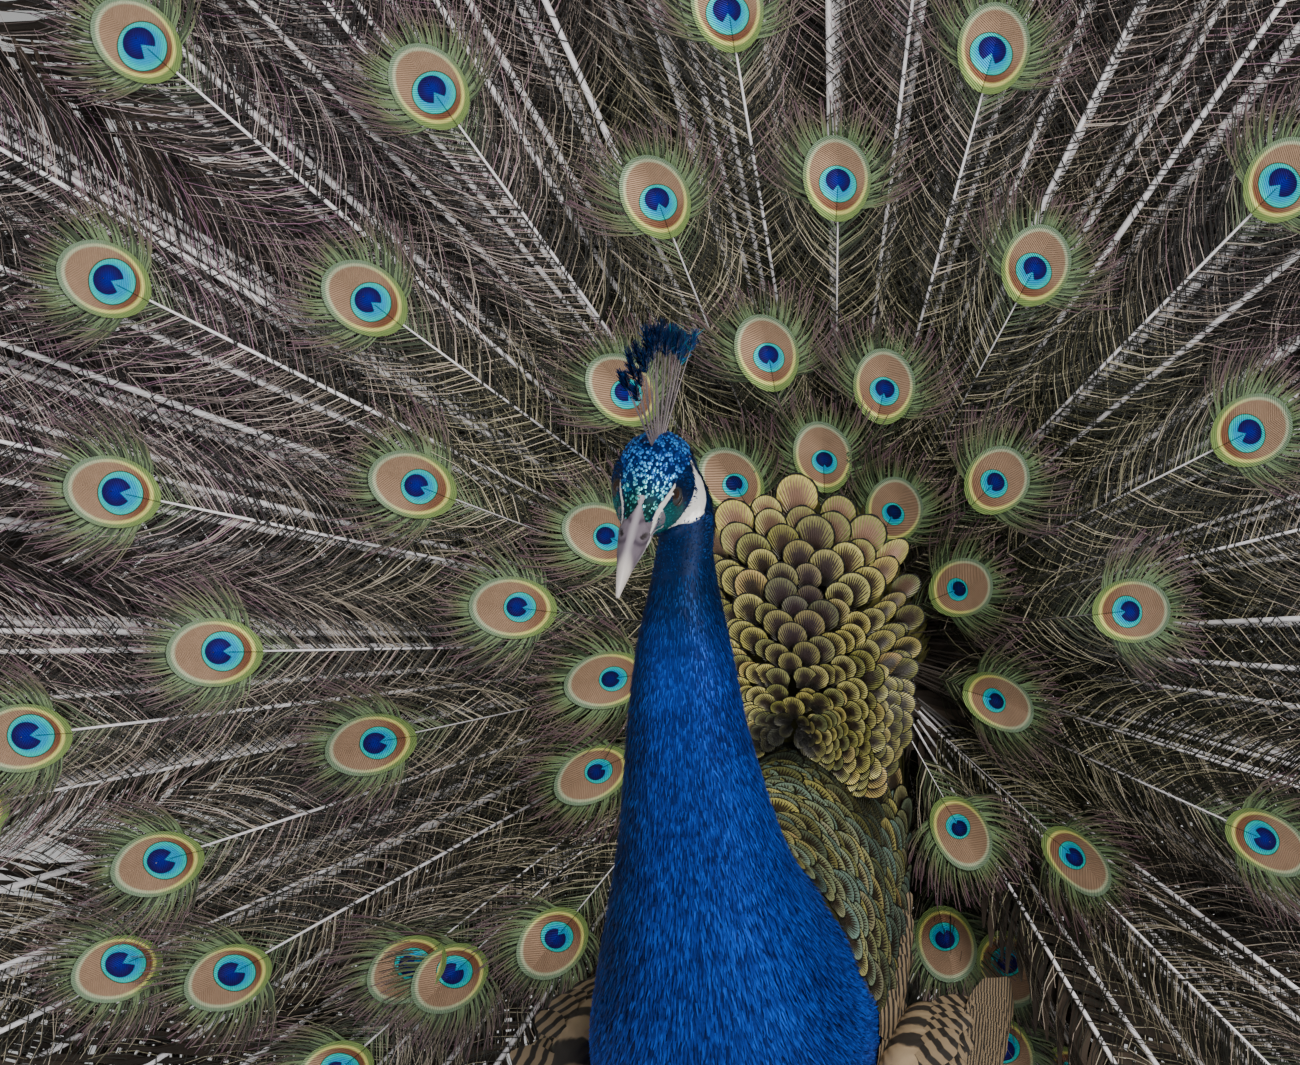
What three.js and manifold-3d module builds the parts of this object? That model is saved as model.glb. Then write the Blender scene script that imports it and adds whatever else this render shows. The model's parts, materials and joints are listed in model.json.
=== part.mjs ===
// A life-size Indian peacock in full display: head, neck, body, drooped wings, legs and the raised train.
// Millimetres, +Z up, the bird faces -Y and its left side is +X. The floor is z = 0.

import * as THREE from 'three';
import { mergeVertices } from 'three/addons/utils/BufferGeometryUtils.js';
import Module from 'manifold-3d';

const wasm = await Module();
wasm.setup();

// ---------------------------------------------------------------- driving sizes
const GAP = 0.3; // between pieces that touch
const BODY_SIDES = 20; // corners of a body section
const TAIL_ROOT = new THREE.Vector3(0, 0, 480); // the rachises of the train run together here
const TRAIN_REACH = 1150; // root to the notch of the longest, fish-tailed feathers
const TRAIN_LEAN = 12; // degrees that the upper train leans back
const FIRST_REACH = 80; // of the shortest train feathers
const HUB_INNER = 34;
const HUB_OUTER = 72;
const FLOOR_CLEARANCE = 14;
const VANE_THICK = 0.8; // of a feather's web

const COLOURS = {
  blue: 0x12439c,
  navy: 0x10172c,
  crown: 0x1c8f9c,
  horn: 0x9a93a0,
  eye: 0x2a1a12,
  green: 0x3c6b3a,
  bronze: 0x6e5a32,
  rufous: 0x9a5a33,
  brown: 0x5f5144,
  dark: 0x2b2622,
  buff: 0xa98f68,
  leg: 0x7d7468,
};

// ---------------------------------------------------------------- small helpers
const radians = THREE.MathUtils.degToRad;
const lerp = THREE.MathUtils.lerp;
const smooth = (t) => THREE.MathUtils.smoothstep(t, 0, 1);
const vec = (x, y, z) => new THREE.Vector3(x, y, z);

/** A repeatable number from 0 to 1 for a pair of whole numbers. */
function draw(i, k) {
  const s = Math.sin(i * 12.9898 + k * 78.233) * 43758.5453;
  return s - Math.floor(s);
}

/** A closed three.js geometry as a solid of the boolean library. */
function solidOf(geometry) {
  const g = geometry.clone();
  g.deleteAttribute('normal');
  g.deleteAttribute('uv');
  const merged = mergeVertices(g, 1e-4);
  return new wasm.Manifold(new wasm.Mesh({
    numProp: 3,
    vertProperties: new Float32Array(merged.attributes.position.array),
    triVerts: new Uint32Array(merged.index.array),
  }));
}

/** A solid straight from points and triangles. */
function solidFrom(points, triangles) {
  const flat = new Float32Array(points.length * 3);
  points.forEach((p, i) => flat.set([p.x, p.y, p.z], i * 3));
  return new wasm.Manifold(new wasm.Mesh({
    numProp: 3,
    vertProperties: flat,
    triVerts: new Uint32Array(triangles.flat()),
  }));
}

/** Closed solid through rings of equally many points, each end closed by a fan round its middle. */
function loft(rings) {
  const n = rings[0].length;
  const points = rings.flat();
  const faces = [];
  for (let i = 0; i < rings.length - 1; i++) {
    for (let j = 0; j < n; j++) {
      const a = i * n + j;
      const b = i * n + ((j + 1) % n);
      faces.push([a, b, b + n], [a, b + n, a + n]);
    }
  }
  for (const [row, flip] of [[0, true], [rings.length - 1, false]]) {
    if (n === 4) {
      const [a, b, c, d] = [0, 1, 2, 3].map((j) => row * n + j);
      faces.push(...(flip ? [[a, c, b], [a, d, c]] : [[a, b, c], [a, c, d]]));
      continue;
    }
    const middle = points.length;
    const sum = rings[row].reduce((s, p) => s.add(p), vec(0, 0, 0));
    points.push(sum.divideScalar(n));
    for (let j = 0; j < n; j++) {
      const a = row * n + j;
      const b = row * n + ((j + 1) % n);
      faces.push(flip ? [b, a, middle] : [a, b, middle]);
    }
  }
  const solid = solidFrom(points, faces);
  return solid.volume() > 0 ? solid : solidFrom(points, faces.map(([a, b, c]) => [a, c, b]));
}

/**
 * A feather's web or shaft through steps of { p, across, face, half, thick }: its middle, the directions
 * of its width and of its thickness, its half width and its thickness. Both faces are split alike.
 */
function vane(steps) {
  const points = [];
  for (const { p, across, face, half, thick } of steps) {
    for (const [w, t] of [[-1, -1], [1, -1], [1, 1], [-1, 1]]) {
      points.push(p.clone().addScaledVector(across, w * half).addScaledVector(face, (t * thick) / 2));
    }
  }
  const faces = [[0, 2, 1], [0, 3, 2]];
  const last = (steps.length - 1) * 4;
  faces.push([last, last + 1, last + 2], [last, last + 2, last + 3]);
  for (let i = 0; i < last; i += 4) {
    const [a, b, c, d] = [i, i + 1, i + 2, i + 3];
    faces.push([a, b, b + 4], [a, b + 4, a + 4]); // front
    faces.push([b, c, c + 4], [b, c + 4, b + 4]); // edge
    faces.push([c, d, c + 4], [d, d + 4, c + 4]); // back, split as the front is
    faces.push([d, a, a + 4], [d, a + 4, d + 4]); // edge
  }
  const solid = solidFrom(points, faces);
  return solid.volume() > 0 ? solid : solidFrom(points, faces.map(([a, b, c]) => [a, c, b]));
}

/** Joins solids into one. */
function join(solids) {
  return wasm.Manifold.union(solids);
}

/** Only the largest closed surface of a solid. */
function largest(solid) {
  const bodies = solid.decompose();
  return bodies.reduce((best, b) => (b.volume() > best.volume() ? b : best), bodies[0]);
}

/** A named mesh of the solid, in its own colour. */
function node(name, solid, colour, roughness = 0.8, metalness = 0) {
  const mesh = largest(solid).getMesh();
  const geometry = new THREE.BufferGeometry();
  const xyz = new Float32Array(mesh.numVert * 3);
  for (let i = 0; i < mesh.numVert; i++) {
    for (let c = 0; c < 3; c++) xyz[i * 3 + c] = mesh.vertProperties[i * mesh.numProp + c];
  }
  geometry.setAttribute('position', new THREE.BufferAttribute(xyz, 3));
  geometry.setIndex(new THREE.BufferAttribute(new Uint32Array(mesh.triVerts), 1));
  geometry.computeVertexNormals();
  const made = new THREE.Mesh(
    geometry,
    new THREE.MeshStandardMaterial({ color: colour, roughness, metalness }),
  );
  made.name = name;
  return made;
}

// ---------------------------------------------------------------- neck and torso
// Each station is a section from the nape or back line to the throat or belly line, as [y, z] pairs,
// with its half width and its middle's x. They fan out round the bend of the breast.
const STATIONS = [
  { back: [-238, 662], front: [-262, 648], half: 13, x: 4 },
  { back: [-236, 632], front: [-278, 622], half: 16.5, x: 4.5 },
  { back: [-236, 592], front: [-281, 586], half: 24.5, x: 5 },
  { back: [-222, 556], front: [-279, 543], half: 30, x: 5 },
  { back: [-203, 522], front: [-272, 499], half: 36, x: 6 },
  { back: [-187, 497], front: [-268, 463], half: 42, x: 7 },
  { back: [-168, 478], front: [-263, 424], half: 49, x: 7.5 },
  { back: [-144, 464], front: [-252, 372], half: 57, x: 7 },
  { back: [-114, 457], front: [-225, 318], half: 65, x: 5.5 },
  { back: [-82, 455], front: [-180, 284], half: 68, x: 3.5 },
  { back: [-50, 454], front: [-120, 268], half: 67, x: 1.5 },
  { back: [-18, 453], front: [-55, 265], half: 64, x: 0 },
  { back: [14, 452], front: [8, 273], half: 58, x: 0 },
  { back: [44, 454], front: [62, 298], half: 51, x: 0 },
  { back: [62, 466], front: [106, 338], half: 46, x: 0 },
  { back: [72, 486], front: [134, 386], half: 42, x: 0 },
  { back: [78, 510], front: [148, 438], half: 42, x: 0 },
  { back: [84, 530], front: [144, 490], half: 40, x: 0 },
  { back: [98, 538], front: [128, 522], half: 24, x: 0 },
];
const NECK_TOP = 1; // the station where the head ends
const NECK_MIDDLE = 4; // where the neck is divided
const NECK_ROOT = 7; // where the neck ends and the torso starts

/** The section of one station, moved along the body by shift and made larger by grow. */
function section({ back, front, half, x }, grow = 0, shift = 0, sides = BODY_SIDES) {
  const b = vec(x, back[0], back[1]);
  const f = vec(x, front[0], front[1]);
  const middle = b.clone().add(f).multiplyScalar(0.5);
  const up = b.clone().sub(f).multiplyScalar(0.5);
  const depth = up.length() + grow;
  up.normalize();
  const along = vec(0, up.z, -up.y);
  middle.addScaledVector(along, shift);
  const ring = [];
  for (let i = 0; i < sides; i++) {
    const angle = (i / sides) * Math.PI * 2;
    const wide = (half + grow) * Math.cos(angle) * (1 - 0.16 * Math.sin(angle));
    ring.push(middle.clone().addScaledVector(up, depth * Math.sin(angle)).add(vec(wide, 0, 0)));
  }
  return ring;
}

/** The body from station first to station last. Its ends keep half the gap. */
function trunk(first, last, grow = 0, startShift = 0, endShift = 0) {
  const rings = [];
  for (let i = first; i <= last; i++) {
    const shift = (i === first ? startShift : 0) + (i === last ? endShift : 0);
    rings.push(section(STATIONS[i], grow, shift));
  }
  return loft(rings);
}

const LAST = STATIONS.length - 1;
const bodyClear = trunk(NECK_ROOT - 2, LAST, GAP);

// ---------------------------------------------------------------- head and bill
// The head's own frame: s runs along the bill, t to its left side and u to the crown.
const HEAD = vec(-11, -262, 663);
const HEAD_YAW = radians(0); // towards -X
const HEAD_PITCH = radians(21); // bill down
const HEAD_ROLL = radians(6); // crown towards +X
const BILL_BASE = 23;
const EYE_RADIUS = 5.8;
const EYE = { s: 5, t: 14.2, u: 4.5 };
const heading = vec(-Math.sin(HEAD_YAW), -Math.cos(HEAD_YAW), 0);
const headS = heading.clone().multiplyScalar(Math.cos(HEAD_PITCH)).add(vec(0, 0, -Math.sin(HEAD_PITCH)));
const upright = heading.clone().multiplyScalar(Math.sin(HEAD_PITCH)).add(vec(0, 0, Math.cos(HEAD_PITCH)));
const leftward = upright.clone().cross(headS);
const headU = upright.clone().multiplyScalar(Math.cos(HEAD_ROLL)).addScaledVector(leftward, Math.sin(HEAD_ROLL));
const headT = headU.clone().cross(headS);
const inHead = new THREE.Matrix4().makeBasis(headS, headT, headU).setPosition(HEAD);
const headPoint = (s, t, u) => vec(s, t, u).applyMatrix4(inHead);

// Sections from the tip of the bill to the nape: place along s, middle u, half width, height above and below.
const HEAD_SECTIONS = [
  [67, -9.5, 0.7, 0.9, 0.7],
  [64, -7.2, 2.0, 2.0, 1.6],
  [56, -4.2, 4.0, 4.0, 3.2],
  [45, -2.2, 5.6, 6.0, 4.8],
  [34, -1.2, 7.0, 7.6, 6.2],
  [BILL_BASE, -0.6, 9.4, 9.6, 8.4],
  [16, 0, 12.6, 12.8, 13.0],
  [8, 0, 16.0, 16.0, 17.0],
  [-1, 0, 18.6, 18.8, 20.0],
  [-11, 0, 19.6, 20.4, 21.5],
  [-21, 0, 18.4, 19.0, 20.5],
  [-29, 0, 14.6, 15.0, 17.0],
  [-34, 0, 7.6, 8.0, 9.0],
];

const CHEEK_FULLNESS = 0.8; // below 1, the lower half of a section is squarer than an ellipse

/** The head and bill as one solid. */
function headShape(grow = 0) {
  return loft(HEAD_SECTIONS.map(([s, middle, half, above, below]) => {
    const ring = [];
    for (let i = 0; i < 16; i++) {
      const angle = (i / 16) * Math.PI * 2;
      const high = Math.sin(angle);
      const wide = Math.cos(angle);
      const full = high > 0 ? wide : Math.sign(wide) * Math.abs(wide) ** CHEEK_FULLNESS;
      const u = middle + high * ((high > 0 ? above : below) + grow);
      ring.push(headPoint(s, (half + grow) * full, u));
    }
    return ring;
  }));
}

/** A prism across the head over an outline of [s, u] points. */
function acrossHead(outline, halfWidth) {
  const shape = new THREE.Shape(outline.map(([s, u]) => new THREE.Vector2(s, u)));
  const g = new THREE.ExtrudeGeometry(shape, { depth: halfWidth * 2, bevelEnabled: false, steps: 1 });
  g.translate(0, 0, -halfWidth);
  g.applyMatrix4(new THREE.Matrix4().makeRotationX(Math.PI / 2));
  g.applyMatrix4(inHead);
  return solidOf(g);
}

/** A ball at a point of the head's frame. */
function headBall(s, t, u, radius, wide = 10, high = 6) {
  const g = new THREE.SphereGeometry(radius, wide, high);
  g.applyMatrix4(new THREE.Matrix4().makeRotationX(Math.PI / 2));
  g.translate(s, t, u);
  g.applyMatrix4(inHead);
  return solidOf(g);
}

// The line of the mouth, from the corner of the gape to past the tip.
const MOUTH = [[17, -6.2], [BILL_BASE, -4.4], [36, -3.4], [50, -4.6], [58, -6.8], [70, -11.5]];
const mouthCut = acrossHead(
  [...MOUTH.map(([s, u]) => [s, u + 0.2]), ...MOUTH.slice().reverse().map(([s, u]) => [s, u - 0.2])],
  30,
);
const billCut = acrossHead([[BILL_BASE, -30], [BILL_BASE + GAP, -30], [BILL_BASE + GAP, 30], [BILL_BASE, 30]], 30);

const sockets = [1, -1].map((side) => headBall(EYE.s, side * EYE.t, EYE.u, EYE_RADIUS + GAP));
const lids = [1, -1].map((side) => {
  const g = new THREE.TorusGeometry(5.0, 1.25, 4, 10);
  g.scale(1.12, 0.92, 1);
  g.applyMatrix4(new THREE.Matrix4().makeRotationX(Math.PI / 2));
  g.applyMatrix4(new THREE.Matrix4().makeRotationZ(side * radians(-14)));
  g.translate(EYE.s + 0.9, side * (EYE.t + 3.4), EYE.u);
  g.applyMatrix4(inHead);
  return solidOf(g);
});

const neckStub = trunk(0, NECK_TOP, 0, 0, -GAP);
const headBillCut = headShape().subtract(billCut);
const pieces = headBillCut.subtract(mouthCut).decompose();
const byVolume = pieces.sort((a, b) => b.volume() - a.volume());
const headCore = byVolume[0];
const billParts = byVolume.slice(1, 3).sort((a, b) => b.boundingBox().max[2] - a.boundingBox().max[2]);
const nostrils = join([1, -1].map((side) => headBall(33, side * 6.6, 2.2, 1.5, 6, 4)));
let head = join([headCore, neckStub, ...lids]);
for (const socket of sockets) head = head.subtract(socket);
head = head.subtract(mouthCut);
const neckTopClear = trunk(NECK_TOP, NECK_TOP + 2, GAP, 0, 0);
head = head.subtract(neckTopClear);

// ---------------------------------------------------------------- the train's surface
/** How far forward a feather of this reach leans, in degrees. The short ones in front lean most. */
function forwardLean(reach) {
  return 10 + 17 * Math.exp(-(reach - 100) / 350);
}

/** A point of the raised train: degrees from upright, distance from the root, and the feather's reach. */
function trainPoint(angle, r, reach) {
  const a = Math.abs(angle);
  const up = Math.cos(radians(angle));
  const share = 1 - 0.7 * smooth((a - 90) / 60);
  const rootDepth = lerp(88, 130, (reach - 100) / 1050);
  const curl = 60 * (Math.max(0, r - 600) / 600) ** 2;
  const forward = share * ((r - 60) * Math.tan(radians(forwardLean(reach))) + curl);
  const back = r * Math.max(up, 0) * Math.tan(radians(TRAIN_LEAN));
  const outward = 20 * smooth((a - 100) / 50) * Math.sign(angle);
  return vec(
    TAIL_ROOT.x + r * Math.sin(radians(angle)) + outward,
    rootDepth - forward + back,
    TAIL_ROOT.z + r * up,
  );
}

/** The longest reach that stays clear of the floor at an angle. */
function longestReach(angle, wanted = TRAIN_REACH) {
  const up = Math.cos(radians(angle));
  if (up >= -0.05) return wanted;
  return Math.min(wanted, (TAIL_ROOT.z - FLOOR_CLEARANCE) / -up);
}

/** The fleshy root of one sector of the train: an arc-shaped block from one angle to another. */
function hub(from, to) {
  const rings = [];
  const steps = 6;
  for (let i = 0; i <= steps; i++) {
    const angle = lerp(from, to, i / steps);
    const place = (r, reach, more) => trainPoint(angle, r, reach).add(vec(0, more, 0));
    rings.push([
      place(HUB_INNER, FIRST_REACH, -3),
      place(HUB_OUTER, FIRST_REACH, -3),
      place(HUB_OUTER, TRAIN_REACH, 3),
      place(HUB_INNER, TRAIN_REACH, 3),
    ]);
  }
  return loft(rings);
}

// Sectors of the train, as degrees from upright. Roots keep clear of the seams between them.
const SECTORS = [
  ['train_right_low', -150, -104.5],
  ['train_right_mid', -103.5, -56.6],
  ['train_right_high', -55.4, -4.6],
  ['train_left_high', -3.4, 49.4],
  ['train_left_mid', 50.6, 100.3],
  ['train_left_low', 101.5, 150],
];
const SEAM_CLEARANCE = 2.6; // degrees between a root and a seam

// The feathers round the bird's head and back, as [degrees from upright, reach of the eyespot].
const INNER_FEATHERS = [
  [-48, 468], [-34, 354], [-8, 342], [15, 336], [-19, 255], [2, 255], [41, 356], [-62, 410],
  [-51, 295], [27, 243], [-35.5, 172], [-9.5, 164], [12.5, 151], [57, 265], [-76.5, 365], [-66, 223],
  [-27, 102], [0, 106], [24.5, 88], [41.5, 138], [-60, 127], [-80, 155], [59, 84], [74, 171],
  [-89, 300], [-96, 107], [-96, 402], [-101, 227], [96, 95], [-120, 125], [-108.5, 352], [125, 155],
  [104, 245], [-143, 198], [-131, 265], [-121, 347], [-116, 397], [-135.5, 251], [147, 100],
];
const INNER_X = [-425, 285]; // where no other eyespots show among them
const INNER_Z = [270, 850];

// Rings of the rest, as [reach of the eyespots, how many all round].
const OUTER_RINGS = [[235, 9], [330, 9], [430, 9], [530, 10], [640, 11], [755, 12], [875, 13], [1000, 14]];
const FISH_TAILS = 24; // the longest feathers, which end in a notched fish tail with no eyespot
const EDGE_FEATHERS = 5; // sickle feathers down each lower edge

/** Moves an angle off the seams between sectors. */
function offSeams(angle) {
  let best = angle;
  for (const [, from, to] of SECTORS) {
    if (angle >= from - 1.2 && angle <= to + 1.2) {
      best = THREE.MathUtils.clamp(angle, from + SEAM_CLEARANCE, to - SEAM_CLEARANCE);
    }
  }
  return best;
}

/** All feathers of the train as { angle, reach, kind }. */
function trainFeathers() {
  const all = INNER_FEATHERS.map(([angle, reach]) => ({ angle: offSeams(angle), reach, kind: 'eye' }));
  OUTER_RINGS.forEach(([ring, count], k) => {
    for (let i = 0; i < count; i++) {
      const angle = offSeams(-146 + (292 * (i + 0.25 + 0.5 * draw(i, k))) / count);
      const reach = ring + 34 * (draw(i, k + 20) - 0.5);
      const x = reach * Math.sin(radians(angle));
      const z = TAIL_ROOT.z + reach * Math.cos(radians(angle));
      const among = x > INNER_X[0] && x < INNER_X[1] && z > INNER_Z[0] && z < INNER_Z[1];
      if (!among && reach + 60 < longestReach(angle)) all.push({ angle, reach, kind: 'eye' });
    }
  });
  for (let i = 0; i < FISH_TAILS; i++) {
    const angle = offSeams(-104 + (208 * (i + 0.3 + 0.4 * draw(i, 50))) / FISH_TAILS);
    all.push({ angle, reach: TRAIN_REACH - 70 * draw(i, 51), kind: 'fish' });
  }
  for (const side of [-1, 1]) {
    for (let i = 0; i < EDGE_FEATHERS; i++) {
      const angle = side * (112 + (35 * i) / (EDGE_FEATHERS - 1));
      all.push({ angle: offSeams(angle), reach: longestReach(angle, 1000) - 10 - 4 * i, kind: 'sickle' });
    }
  }
  return all;
}

/** The train's own directions at a point: along the rachis, across it, and out of its face. */
function trainAxes(angle, r, reach) {
  const along = trainPoint(angle, r + 2, reach).sub(trainPoint(angle, r - 2, reach)).normalize();
  const beside = trainPoint(angle + 0.5, r, reach).sub(trainPoint(angle - 0.5, r, reach));
  const across = beside.addScaledVector(along, -beside.dot(along)).normalize();
  return { across, face: along.clone().cross(across).normalize() };
}

const EYE_HALF = 28; // half the width of a full-size eyespot's paddle
const eyeScale = (reach) => lerp(0.52, 1, smooth((reach - 80) / 170));

/** One feather of the train, from its root in the hub to its tip. */
function trainFeather({ angle, reach, kind }) {
  const big = eyeScale(reach);
  const quill = lerp(1.1, 2.1, smooth(reach / 700));
  const eye = EYE_HALF * big;
  const root = 58;
  const part = (t) => lerp(root, reach - eye * 1.2, t);
  const profiles = {
    eye: [
      [root, quill, quill * 1.5],
      ...(reach > 480 ? [[part(0.5), 12, quill * 0.9]] : []),
      [reach - eye * 1.15, eye * 0.5, 1.1],
      [reach, eye, VANE_THICK],
      [reach + eye * 0.75, eye * 0.72, VANE_THICK],
      [reach + eye * 1.25, eye * 0.12, VANE_THICK * 0.7],
    ],
    fish: [
      [root, quill, quill * 1.5],
      [part(0.45), 12, quill * 0.95],
      [part(0.9), 15, 1.1],
      [reach - 14, 22, VANE_THICK],
      [reach + 12, 33, VANE_THICK * 0.7],
    ],
    sickle: [
      [root, quill * 0.8, quill * 1.3],
      [part(0.4), 11, 1.1],
      [part(0.8), 17, VANE_THICK],
      [reach - 10, 11, VANE_THICK],
      [reach, 2, VANE_THICK * 0.7],
    ],
  };
  return vane(profiles[kind].map(([r, half, thick]) => (
    { p: trainPoint(angle, r, reach), ...trainAxes(angle, r, reach), half, thick }
  )));
}

const feathers = trainFeathers();
const train = SECTORS.map(([name, from, to]) => {
  const own = feathers.filter(({ angle }) => angle > from && angle < to).map(trainFeather);
  return node(name, join([hub(from, to), ...own]).subtract(bodyClear), COLOURS.green);
});

// ---------------------------------------------------------------- tail behind the train
const TAIL_REACH = 425;
const TAIL_FEATHERS = 18;
const TAIL_DEPTH = 151; // y of the middle feathers at the root
const TAIL_SPREAD = 78; // degrees each side of upright

/** A point of the tail fan: its own angle, distance from the root, and how many layers back it lies. */
function tailPoint(angle, r, layer) {
  const up = Math.cos(radians(angle));
  return vec(r * Math.sin(radians(angle)), TAIL_DEPTH + layer * 1.25 + r * 0.03 + r * up * 0.19, 476 + r * up);
}

const rectrices = Array.from({ length: TAIL_FEATHERS }, (_, i) => {
  const angle = lerp(-TAIL_SPREAD, TAIL_SPREAD, i / (TAIL_FEATHERS - 1));
  const layer = Math.abs(i - (TAIL_FEATHERS - 1) / 2) + (i % 2) * 0.4;
  const reach = TAIL_REACH - 55 * (angle / TAIL_SPREAD) ** 2;
  const across = vec(Math.cos(radians(angle)), 0, -Math.sin(radians(angle)));
  return vane([[22, 3, 2.2], [reach * 0.5, 17, 0.9], [reach * 0.93, 24, 0.8], [reach, 6, 0.6]]
    .map(([r, half, thick]) => ({ p: tailPoint(angle, r, layer), across, face: vec(0, 1, 0), half, thick })));
});
const tailBlock = new THREE.BoxGeometry(66, 26, 52);
tailBlock.translate(0, 163, 484);
const tail = join([solidOf(tailBlock), ...rectrices]);

// ---------------------------------------------------------------- rump with its raised scale feathers
const RUMP_SECTIONS = [
  [446, 56, 14, 72],
  [470, 58, 11, 78],
  [500, 58, 11, 77],
  [530, 54, 12, 74],
  [560, 46, 15, 67],
  [584, 33, 19, 57],
  [600, 13, 27, 47],
];
function rumpShape(shrink = 0) {
  return loft(RUMP_SECTIONS.map(([z, half, y0, y1]) => {
    const ring = [];
    for (let i = 0; i < 14; i++) {
      const angle = (i / 14) * Math.PI * 2;
      ring.push(vec(
        (half - shrink) * Math.cos(angle),
        (y0 + y1) / 2 + ((y1 - y0) / 2 - shrink) * Math.sin(angle),
        z - shrink,
      ));
    }
    return ring;
  }));
}

// Tiers of raised scale feathers, as [distance of their roots from the hollow, how many, length].
const RUMP_HOLLOW_Z = 466;
const SCALE_TIERS = [[36, 5, 34], [60, 6, 38], [84, 8, 42]];

/** One rounded scale feather of the rump, standing off its core and pointing away from the hollow. */
function rumpScale(angle, distance, length) {
  const out = vec(Math.sin(radians(angle)), 0, Math.cos(radians(angle)));
  const across = vec(out.z, 0, -out.x);
  const narrow = (angle / 90) ** 2; // the fan of scales is narrower than high
  const reach = distance * (1 - 0.48 * narrow);
  const front = 27 + 0.0022 * reach * reach;
  const root = vec(0, front, RUMP_HOLLOW_Z).addScaledVector(out, reach);
  const long = length * (1 - 0.25 * narrow);
  const rise = (t) => root.clone().addScaledVector(out, long * t).add(vec(0, -15 * Math.sin(t * 1.35), 0));
  return vane([[-0.15, 5, 1.2], [0.3, 10, 1], [0.7, 13.5, 0.8], [1, 7, 0.6]]
    .map(([t, half, thick]) => ({ p: rise(t), across, face: vec(0, 1, 0), half, thick })));
}

const rumpScales = SCALE_TIERS.flatMap(([distance, count, length], k) => (
  Array.from({ length: count }, (_, i) => {
    const angle = lerp(-92, 92, (i + 0.5) / count) + 6 * (draw(i, k + 80) - 0.5);
    return rumpScale(angle, distance, length * (0.92 + 0.16 * draw(i, k + 90)));
  })
));

// ---------------------------------------------------------------- crest
const CREST = { s: -17, u: 16, length: 55, count: 19, forward: 46, backward: -38, turn: 10 };
const crestUp = vec(0, 0, 1);
const crestAhead = heading.clone().applyAxisAngle(crestUp, radians(-CREST.turn)); // the plane of its fan
const crestAside = crestUp.clone().cross(crestAhead);
const crestRoot = headPoint(CREST.s, 0, CREST.u);

/** One crest feather: a bare shaft with a small paddle at its tip. */
function crestFeather(i) {
  const lean = radians(lerp(CREST.backward, CREST.forward, i / (CREST.count - 1)));
  const along = crestAhead.clone().multiplyScalar(Math.sin(lean)).addScaledVector(crestUp, Math.cos(lean));
  const sideways = (i % 3) - 1;
  const length = CREST.length * (0.9 + 0.1 * draw(i, 5)) - 6 * Math.abs(Math.sin(lean));
  const across = along.clone().cross(crestAside).normalize();
  const base = crestRoot.clone().addScaledVector(crestAhead, 9 * Math.sin(lean));
  const aside = (r) => sideways * 3.6 * (Math.max(r, 0) / length) ** 1.5;
  const at = (r) => base.clone().addScaledVector(along, r).addScaledVector(crestAside, aside(r));
  return vane([[-2, 0.8, 1.1], [length - 11, 0.5, 0.8], [length - 4, 2.9, 0.7], [length, 1.2, 0.6]]
    .map(([r, half, thick]) => ({ p: at(r), across, face: crestAside, half, thick })));
}

const headClear = headShape(GAP);
const crestPad = new THREE.SphereGeometry(1, 10, 6);
crestPad.scale(13, 6.5, 6);
crestPad.applyMatrix4(new THREE.Matrix4().makeRotationY(radians(22)));
crestPad.translate(CREST.s - 1, 0, CREST.u);
crestPad.applyMatrix4(inHead);
const crest = join([solidOf(crestPad), ...Array.from({ length: CREST.count }, (_, i) => crestFeather(i))])
  .subtract(headClear);

// ---------------------------------------------------------------- wings
// The drooped wing in [y, z], seen from its side: elbow, wrist and the end of the hand.
const WING = {
  shoulder: [-112, 341],
  elbow: [-22, 323],
  wrist: [-138, 263],
  hand: [-86, 221],
};
const WING_INNER = 65; // x of the face next to the body, which is cut to meet it
const FLIGHT_ROW = 77.5; // x where the flight feathers start

/** Point t of the way from one [y, z] to another. */
const between = ([y0, z0], [y1, z1], t) => [lerp(y0, y1, t), lerp(z0, z1, t)];

/** One feather of the wing from root [y, z] at x, its length, degrees below level and half width. */
function wingFeather(side, [y, z], x, length, down, half) {
  const along = vec(0, Math.cos(radians(down)), -Math.sin(radians(down)));
  const across = vec(0, -along.z, along.y);
  const at = (t) => vec(side * (x + 1.6 * t * t), y, z).addScaledVector(along, length * t)
    .addScaledVector(across, -length * 0.05 * t * t);
  return vane([[-0.03, half * 0.45, 1.6], [0.25, half, 0.9], [0.8, half * 0.9, 0.8], [1, half * 0.25, 0.6]]
    .map(([t, wide, thick]) => ({ p: at(t), across, face: vec(1, 0, 0), half: wide, thick })));
}

// Rows of feathers as [first root, last root, x of the first, step of x, how many, lengths, degrees down, half width].
const WING_ROWS = [
  [WING.elbow, WING.wrist, FLIGHT_ROW, 1.3, 7, [176, 226], [30, 44], 19], // secondaries
  [WING.wrist, WING.hand, FLIGHT_ROW + 9.2, 1.15, 8, [246, 212], [46, 60], 12], // primaries
  [WING.shoulder, WING.wrist, FLIGHT_ROW + 18.6, 0, 5, [120, 110], [26, 44], 21], // greater coverts
];

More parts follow.
